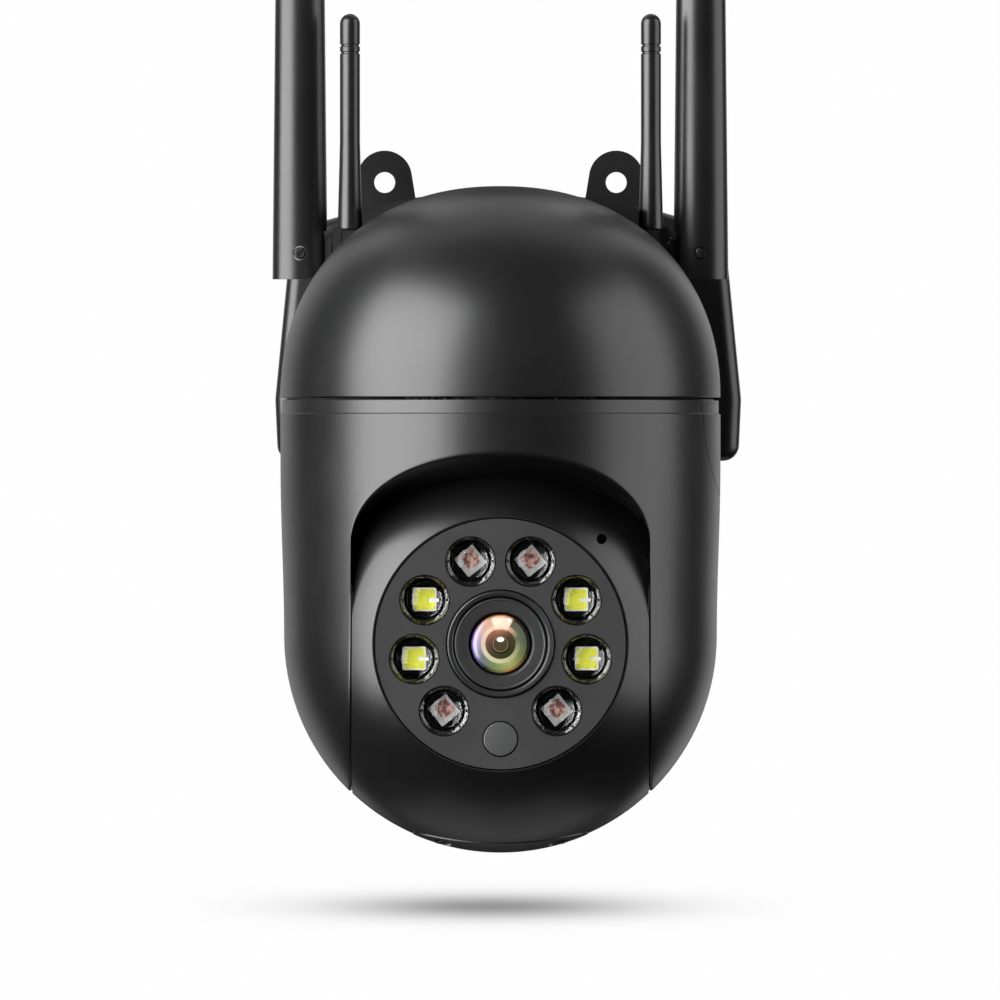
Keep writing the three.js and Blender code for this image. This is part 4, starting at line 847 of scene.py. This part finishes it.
core_band = ramp((
    (0.0, (0.1, 0.045, 0.03)), (0.2, (0.035, 0.035, 0.014)), (0.4, (0.03, 0.032, 0.01)),
    (0.6, (0.06, 0.04, 0.02)), (0.75, (0.26, 0.105, 0.06)), (0.88, (0.2, 0.08, 0.05)),
    (1.0, (0.1, 0.045, 0.03)),
))
core = coat.mix(reach.between(0.12, 0.5) * 0.75 + 0.25, (0.008, 0.007, 0.004), core_band)
tone = coat.mix(reach.between(0.5, 0.53), core, cream_band)
tone = coat.mix(reach.between(0.63, 0.69), tone, middle_band)
tone = coat.mix(reach.between(0.88, 0.91), tone, outer_band)
tone = coat.mix(reach.between(0.985, 1.0), tone, (0.004, 0.004, 0.004))
# Painted highlight: a peach wedge of reflected light across the upper part of the middle band.
painted_highlight_wedge = turn.between(0.672, 0.679) * (1 - turn.between(0.8, 0.808)) * reach.between(0.42, 0.6)
tone = coat.mix(painted_highlight_wedge * (1 - reach.between(0.92, 0.97)) * 0.7, tone, (0.85, 0.6, 0.46))
rings = (reach * 58).maths("SINE") * 0.5 + 0.5
tone = coat.mix(rings * reach.between(0.2, 0.9) * 0.14, tone, (0.02, 0.025, 0.01))
iris = reach.between(0.235, 0.25) * (1 - reach.between(0.25, 0.27))
tone = coat.mix(iris * 0.75, tone, (0.34, 0.24, 0.14))
tone = coat.mix(1 - reach.between(0.2, 0.235), tone, (0.055, 0.04, 0.02))
# Painted highlight: a white blob, the reflection of the key light, just above the middle.
painted_highlight_blob = ((across * across) * 0.55 + (up - 0.15) ** 2 * 1.4) ** 0.5
tone = coat.mix(1 - painted_highlight_blob.between(0.075, 0.105), tone, (1.0, 1.0, 0.98))
# Painted highlight: a small grey glint up and to the right.
spark = ((across - 0.3) ** 2 + (up - 0.8) ** 2) ** 0.5
tone = coat.mix(1 - spark.between(0.05, 0.09), tone, (0.75, 0.75, 0.72))
shine = coat.surface(Base_Color=tone, Roughness=0.22 + rings * 0.05, IOR=1.5, Coat_Weight=0.5, Coat_Roughness=0.03)
fit(in_head(front_glass), "head", shine, "coated_glass", "lens_glass")

# ---------------------------------------------------------------- yoke and inner parts
# What the shells hide: the yoke cheeks, drive, boards, motors and speaker. They keep their working
# shapes, and each gets the finish of what it is made of.
dark, light = (0.01, 0.07, 0.022), (0.018, 0.12, 0.04)
soft = (0.3, 0.7)
board_green = mottled("green_solder_mask", dark, light, 0.5, (0.3, 0.2), edges=soft, grain=0.00002, Coat_Weight=0.3)
dark, light = (0.62, 0.6, 0.52), (0.76, 0.74, 0.67)
deep = {"Subsurface_Weight": 0.1, "Subsurface_Scale": 0.002}
nylon = mottled("natural_nylon", dark, light, 0.4, (0.4, 0.2), edges=soft, grain=0.00002, **deep)
dark, light = (0.008, 0.008, 0.0085), (0.016, 0.016, 0.0165)
rubber = mottled("black_rubber", dark, light, 0.8, (0.62, 0.25), edges=soft, grain=0.00004)
dark, light = (0.1, 0.42, 0.5), (0.16, 0.5, 0.56)
filter_blue = mottled("infra_red_filter", dark, light, 0.3, (0.04, 0.05), edges=soft, grain=0.000005, Coat_Weight=0.5)
INSIDES = {
    black_abs: "dome_floor yoke_cheek_left yoke_cheek_right lens_mount microphone",
    zinc_steel: "pan_motor tilt_motor tilt_shaft pan_bearing pan_retainer plate_screw_left plate_screw_right",
    board_green: "main_board led_board image_sensor_board card_board",
    nylon: "pan_turntable pan_pinion trunnion_bush_left reset_button",
    rubber: "dome_seal panel_gasket speaker",
    filter_blue: "ir_cut_filter",
}
for material, names in INSIDES.items():
    for name in names.split():
        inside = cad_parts[name]
        while len(inside.material_slots) < 1:
            inside.data.materials.append(None)
        for place in inside.material_slots:
            place.material = material

# ---------------------------------------------------------------- housing
# The wall housing behind the camera: a moulded box with a domed-off front, wider than the body and
# hooked on a little off centre, open at the back where it meets the wall plate.
HOUSING_SHIFT = 1.7
HOUSING_FRONT = -25.9
HOUSING_BACK = -2.9
HOUSING_ROUND = 3.0
ARM_HALF = 30.2
ARM_EDGE = 41.6
ARM_CROWN = 45.4
ARM_BOTTOM = 5.0
GLAND_Y = -14.5
POST_X = 36
POST_Z = -4


def housing_loop(inset, y):
    """Outline of the housing drawn in by inset, at a depth y; each corner is [x, z, radius, move in z]."""
    corners = [[50.5, -13.5, 3.5, 1], [51.1, 0, 9, 0], [48.6, 25.8, 9, 0], [47.4, 37.1, 5, -1], [30.1, 42.1, 3, -1]]
    right = [[x - inset, z + move * inset, max(r - inset * 0.4, 0.8)] for x, z, r, move in corners]
    left = [[-x, z, r] for x, z, r in right][::-1]
    path = rounded([[x + HOUSING_SHIFT, z, r] for x, z, r in right + left], closed=True, steps=8)
    return np.column_stack((path[:, 0], np.full(len(path), y), path[:, 1]))


roll = np.linspace(0, math.pi / 2, 9)
loops = [housing_loop(0, HOUSING_BACK)]
for a in roll:
    loops.append(housing_loop(HOUSING_ROUND * (1 - math.cos(a)), HOUSING_FRONT + HOUSING_ROUND * (1 - math.sin(a))))
housing = skin("housing_skin", loops, capped=True)
loops = [housing_loop(SHELL_WALL, y) for y in (HOUSING_BACK + 2, HOUSING_FRONT + SHELL_WALL)]
room = skin("housing_room", loops, capped=True)
corners = [[x, z, 3] for x, z in ((28, 7.2), (28, 39.4), (-28, 39.4), (-28, 7.2))]
channel = prism("channel", rounded(corners, closed=True), (-30, -20))
boolean(housing, [room, channel, cylinder("gland_hole", 4.9, -20, -8, "z", (0, GLAND_Y, 0))])
foot = HOUSING_FRONT + 1.2
section = [[1.7, foot], [3.6, foot], [3.6, HOUSING_BACK], [1.7, HOUSING_BACK]]
boolean(housing, [turned("post", section, "y", (side * POST_X, 0, POST_Z), 36) for side in (-1, 1)], "UNION")
fit(bevelled(housing, 0.35, 3, 40), "base", black_abs, "black_plastic", "bracket_housing", angle=40)

# ---------------------------------------------------------------- wall plate
# A flat moulded plate screwed to the wall by its two ears, which stand up behind the dome. The plate
# sits inside the housing's back edge.
EAR_X = 25.45
EAR_TOP_Z = 48.7
EAR_HOLE_Z = 47.7
EAR_R = 6.0
EAR_FOOT_Z = 36.1
EAR_SPLAY = math.radians(9.5)
PLATE_Y = (-2.6, 0.0)

plate = prism("wall_plate_skin", housing_loop(3.5, 0)[:, (0, 2)], PLATE_Y)
foot = EAR_R + (EAR_TOP_Z - EAR_FOOT_Z) * math.tan(EAR_SPLAY)
turns = np.linspace(EAR_SPLAY, math.pi - EAR_SPLAY, 48)
arc = [(EAR_R * math.cos(a), EAR_TOP_Z + EAR_R * math.sin(a)) for a in turns]
flat = [(-foot, EAR_FOOT_Z), (foot, EAR_FOOT_Z), *arc]
ears = [prism("ear", [(x + side * EAR_X, z) for x, z in flat], PLATE_Y) for side in (-1, 1)]
boolean(plate, ears, "UNION")
cuts = [cylinder("hole", 2.3, -6, 2, "y", (side * EAR_X, 0, EAR_HOLE_Z), 64) for side in (-1, 1)]
sink = [[0, -6], [1.7, -6], [1.7, -1.9], [3.1, -1.9], [3.1, 2], [0, 2]]
cuts += [turned("hole", sink, "y", (side * POST_X, 0, POST_Z), 48) for side in (-1, 1)]
boolean(plate, cuts)
fit(bevelled(plate, 0.4, 3, 40), "base", black_abs, "black_plastic", "wall_plate", angle=40)

# ---------------------------------------------------------------- bracket arm
# The hollow neck from the housing to the dome. Its crowned top shows on both sides of the dome as a
# shallow shoulder, and its front edge follows the dome.
def arm_loop(inset, y):
    half, crown, edge = ARM_HALF - inset, ARM_CROWN - inset, ARM_EDGE - inset
    t = np.linspace(0, 1, 60)[:, None]
    arch = (1 - t) ** 2 * (half, edge) + 2 * t * (1 - t) * (0, 2 * crown - edge) + t * t * (-half, edge)
    base = ARM_BOTTOM + inset
    path = np.concatenate(([[-half, base], [half, base]], arch))
    return np.column_stack((path[:, 0], np.full(len(path), y), path[:, 1]))


arm = skin("arm_skin", [arm_loop(0, y) for y in (PAN_Y + 16, -26.2)], capped=True)
duct = skin("arm_duct", [arm_loop(SHELL_WALL, y) for y in (PAN_Y + 10, -20)], capped=True)
profile = dome_points(0.3, 0, 72)
profile[-1, 0] = 0
nest = turned("nest", [[0, -4], [profile[0, 0], -4], *profile], "z", (0, PAN_Y, 0), SEGMENTS)
boolean(arm, [duct, nest])
fit(bevelled(arm, 0.45, 3, 30), "base", black_abs, "black_plastic", "bracket_arm", angle=40)

# ---------------------------------------------------------------- cable gland
# A soft black rubber grommet in the housing's floor for the power cord.
gland = [[1.9, -17.3, 0], [3.6, -17.3, 0.5], [6.6, -15.4, 0.6], [6.6, -13.8, 0.2], [4.6, -13.8, 0.1]]
gland = rounded([*gland, [4.6, -11, 0.1], [6.2, -11, 0.2], [6.2, -9.4, 0.4], [1.9, -9.4, 0]])
fit(turned("cable_gland_skin", gland, "z", (0, GLAND_Y, 0), 72), "base", rubber, "rubber", "cable_gland")

# ---------------------------------------------------------------- antennas
# On each side of the arm a moulded mount carries a short fixed rod antenna and a hinged blade. The
# blade is a rounded oval, forked at its foot round the knuckle's tongue and pinned through it.
ANTENNA_Y = PAN_Y + 29
MOUNT_TOP = 36.8
PIN_Z = 31.9
BLADE_BOTTOM = 26.2
BLADE_X = 43.85
BLADE_HALF = 6.02
BLADE_DEPTH = 9.0
BLADE_LENGTH = 112.0
BLADE_TAPER = 0.0097
BLADE_SQUARE = 0.96
BLADE_TIP = 4
ROD_R = 2.19
ROD_FOOT_R = 2.66
ROD_GROOVE_R = 1.95
ROD_LENGTH = 47.1
PIN = (BLADE_X, ANTENNA_Y, PIN_Z)


def block(name, x, y, z, radius=0.4, axis=1):
    """Box with its corners rounded about one axis."""
    spans = [x, y, z]
    low, high = spans.pop(axis)
    (a0, a1), (b0, b1) = spans
    path = rounded([[a1, b0, radius], [a1, b1, radius], [a0, b1, radius], [a0, b0, radius]], closed=True, steps=4)
    loops = [np.insert(path, axis, level, axis=1) for level in (low, high)]
    return skin(name, loops, capped=True)


def blade_loop(z):
    from_top = BLADE_BOTTOM + BLADE_LENGTH - z
    half = BLADE_HALF - BLADE_TAPER * (z - BLADE_BOTTOM)
    if from_top < BLADE_TIP:
        half *= 0.25 + 0.75 * math.sqrt(max(1 - (1 - from_top / BLADE_TIP) ** 2, 0))
    turn = np.linspace(0, 2 * math.pi, 96, endpoint=False)
    c, s = np.cos(turn), np.sin(turn)
    depth = (BLADE_DEPTH / 2 + 0.3) * half / BLADE_HALF
    x = half * np.sign(c) * np.abs(c) ** BLADE_SQUARE
    y = depth * np.sign(s) * np.abs(s) ** BLADE_SQUARE
    return np.column_stack((BLADE_X + x, ANTENNA_Y + y, np.full(96, z)))


def about(half):
    return (ANTENNA_Y - half, ANTENNA_Y + half)


def mirrored(obj, side):
    if side < 0:
        obj.data.transform(Matrix.Diagonal((-1, 1, 1, 1)))
        obj.data.flip_normals()
    return obj


blade_black = moulded("satin_black_antenna", (0.0045, 0.0046, 0.0049), 0.3, 0.9, 0.05)
for side, word in SIDES:
    mount = block("antenna_mount_skin_" + word, (30.5, 34.6), (ANTENNA_Y - 11, ANTENNA_Y + 5), (24, MOUNT_TOP), 0.5)
    tabs = [block("tab", (34.5, 36.7), about(4.4), (25, MOUNT_TOP - 3), 0.01)]
    tabs.append(block("tab_top", (34.9, 36.7), about(4.4), (25, 37.6), 0.01))
    boolean(mount, tabs, "UNION")
    nest = turned("nest", [[0, -4], [profile[0, 0], -4], *profile], "z", (0, PAN_Y, 0), SEGMENTS)
    boolean(mount, [nest, cylinder("bore", 2.9, 31.5, 38, "x", (0, ANTENNA_Y, PIN_Z))])
    mount = bevelled(mirrored(mount, side), 0.3, 3, 35)
    fit(mount, "base", black_abs, "black_plastic", "antenna_mount_" + word, angle=40)

    groove = ((ROD_R, 0), (ROD_GROOVE_R, 0.12), (ROD_GROOVE_R, 0.48), (ROD_R, 0.6))
    grooves = [[radius, z + up, 0.05] for z in (38.3, 39.9) for radius, up in groove]
    turns = np.linspace(0, math.pi / 2, 13)
    cap = [[ROD_R * math.cos(a), ROD_LENGTH - ROD_R + ROD_R * math.sin(a), 0] for a in turns]
    rod = [[0, 0, 0], [ROD_FOOT_R, 0, 0.25], [ROD_FOOT_R, 1.2, 0.5], [ROD_R, 19.2, 6], *grooves, *cap[:-1]]
    rod = rounded([*rod, [0, ROD_LENGTH, 0]], steps=4)
    rod = turned("rod_antenna_skin_" + word, rod, "z", (32.9, ANTENNA_Y - 7.6, MOUNT_TOP + 0.3), 72)
    fit(mirrored(rod, side), "base", blade_black, "black_plastic", "rod_antenna_" + word)

    knuckle = "antenna_knuckle_skin_" + word
    knuckle = block(knuckle, (37.0, 37.6), about(4), (PIN_Z - 3.4, PIN_Z + 3.4), 0.8, 0)
    more = [block("neck", (37.3, BLADE_X), about(1.9), (PIN_Z - 3, PIN_Z + 3), 0.01)]
    more.append(cylinder("tongue", 4.2, -1.9, 1.9, "y", PIN, 72))
    more.append(cylinder("spigot", 2.6, 32.2, 37.3, "x", (0, ANTENNA_Y, PIN_Z)))
    boolean(knuckle, more, "UNION")
    boolean(knuckle, [cylinder("hole", 1.6, -9, 9, "y", PIN)])
    knuckle = bevelled(mirrored(knuckle, side), 0.2, 2, 35)
    fit(knuckle, "knuckle_" + word, black_abs, "black_plastic", "antenna_knuckle_" + word, angle=40)

    top = BLADE_BOTTOM + BLADE_LENGTH
    tip = top - BLADE_TIP * (1 - np.sin(np.linspace(0, math.pi / 2, 14)))
    levels = np.concatenate(([BLADE_BOTTOM, BLADE_BOTTOM + 12, top - 40], tip))
    blade = skin("blade_antenna_skin_" + word, [blade_loop(z) for z in levels], capped=True)
    fork = block("fork", (BLADE_X - 8, BLADE_X + 4.8), about(2.2), (BLADE_BOTTOM - 2, PIN_Z + 4.8), 0.3)
    corner = block("corner", (BLADE_X - 9, BLADE_X), about(9), (PIN_Z - 9, PIN_Z), 0.01)
    boolean(corner, [cylinder("foot", 5.9, -12, 12, "y", PIN, 96)])
    boolean(blade, [fork, corner, cylinder("hole", 1.6, -9, 9, "y", PIN)])
    blade = bevelled(mirrored(blade, side), 0.22, 3, 45)
    fit(blade, "blade_" + word, blade_black, "black_plastic", "blade_antenna_" + word, angle=50)

    pin_half = BLADE_DEPTH / 2 - 0.1
    shaft = rounded([[0, -pin_half, 0], [1.3, -pin_half, 0.35], [1.3, pin_half, 0.35], [0, pin_half, 0]], steps=5)
    pin = turned("antenna_pin_skin_" + word, shaft, "y", PIN, 48)
    fit(mirrored(pin, side), "blade_" + word, black_screw, "steel", "antenna_pin_" + word)

# ---------------------------------------------------------------- floor, light and camera
# A pale floor a little below the camera, evenly white, with a soft shadow painted into its colour
# under the object. It only shows to the camera, so that the black shells stay black. A wide soft light stands
# to the left, a weaker one to the right, narrow ones behind for the edges, and dim ones behind above and below.
WHITE = 0.992
DIM = 0.05
SHADE_DEPTH = 0.69
FLOOR_Z = -0.1108
FLOOR_RISE = math.tan(math.radians(2.6))
SHADE_X = 24.0
SHADE_Y = 36.0
MIDDLE_Y = -0.078

sweep = bpy.data.meshes.new("floor")
corners = [(x, y, FLOOR_Z + (y - MIDDLE_Y) * FLOOR_RISE) for x, y in ((-4, -3), (4, -3), (4, 3), (-4, 3))]
sweep.from_pydata(corners, [], [(0, 1, 2, 3)])
floor = in_scene("floor", sweep)
floor.visible_diffuse = floor.visible_glossy = floor.visible_transmission = False
pale = Finish("pale_floor")
# Painted shadow: a soft dark oval under the object, darkest in its middle.
spread = pale.add("ShaderNodeSeparateXYZ", {}, {0: pale.place((-2, -78, 0))})
far = spread[0] * spread[0] / (2 * SHADE_X**2) + spread[1] * spread[1] / (2 * SHADE_Y**2)
painted_shadow_share = (far * -1.0).maths("EXPONENT") * SHADE_DEPTH
tone = pale.mix(painted_shadow_share, (WHITE, WHITE, WHITE), (0.0, 0.0, 0.0))
glow = pale.add("ShaderNodeEmission", {}, {"Color": tone})[0]
pale.add("ShaderNodeOutputMaterial", {}, {"Surface": glow})
sweep.materials.append(pale.material)

world = bpy.data.worlds.new("studio")
bpy.context.scene.world = world
world.use_nodes = True
sky = world.node_tree
sky.nodes.clear()
kinds = ("LightPath", "Mix", "Background", "OutputWorld")
seen, tint, back, end = (sky.nodes.new("ShaderNode" + kind) for kind in kinds)
tint.data_type = "FLOAT"
tint.inputs[2].default_value = DIM
tint.inputs[3].default_value = WHITE
back.inputs["Color"].default_value = (1, 1, 1, 1)
sky.links.new(seen.outputs["Is Camera Ray"], tint.inputs[0])
sky.links.new(tint.outputs[0], back.inputs["Strength"])
sky.links.new(back.outputs[0], end.inputs["Surface"])


def soft_light(name, azimuth, low, high, distance, width, radiance):
    """Tall area light at an azimuth from the lens side towards +X, between two elevations."""
    light = bpy.data.lights.new(name, "AREA")
    light.shape = "RECTANGLE"
    tall = 2 * distance * math.tan(math.radians((high - low) / 2))
    light.size, light.size_y = width, tall
    light.energy = radiance * math.pi * width * tall
    obj = in_scene(name, light)
    turn, lift = math.radians(azimuth), math.radians((low + high) / 2)
    target = Vector((0, MIDDLE_Y, -0.02))
    away = Vector((math.sin(turn) * math.cos(lift), -math.cos(turn) * math.cos(lift), math.sin(lift)))
    obj.location = target + away * distance
    obj.rotation_euler = (-away).to_track_quat("-Z", "Y").to_euler()


soft_light("key_left", -55, -26, 50, 1.0, 1.08, 10.2)
soft_light("fill_right", 78, -26, 46, 1.0, 0.9, 2.8)
soft_light("edge_left", -152, -24, 50, 1.0, 0.6, 0.62)
soft_light("edge_right", 154, -24, 50, 1.0, 0.5, 0.75)
soft_light("back_above", 180, 40, 84, 1.2, 1.6, 0.72)
soft_light("back_below", 180, -80, -40, 1.2, 1.0, 0.4)

SENSOR_WIDE = 36
EYE_AWAY = 10000
VIEW_WIDE = 217.7
bpy.context.scene.view_settings.view_transform = "Standard"
camera = bpy.data.cameras.new("camera")
camera.type = "PERSP"
camera.lens = SENSOR_WIDE * EYE_AWAY / VIEW_WIDE
camera.clip_end = 100
eye = in_scene("camera", camera)
eye.location = (-0.0001, -10.1, -0.0221)
eye.rotation_euler = (math.pi / 2, 0, 0)
bpy.context.scene.camera = eye
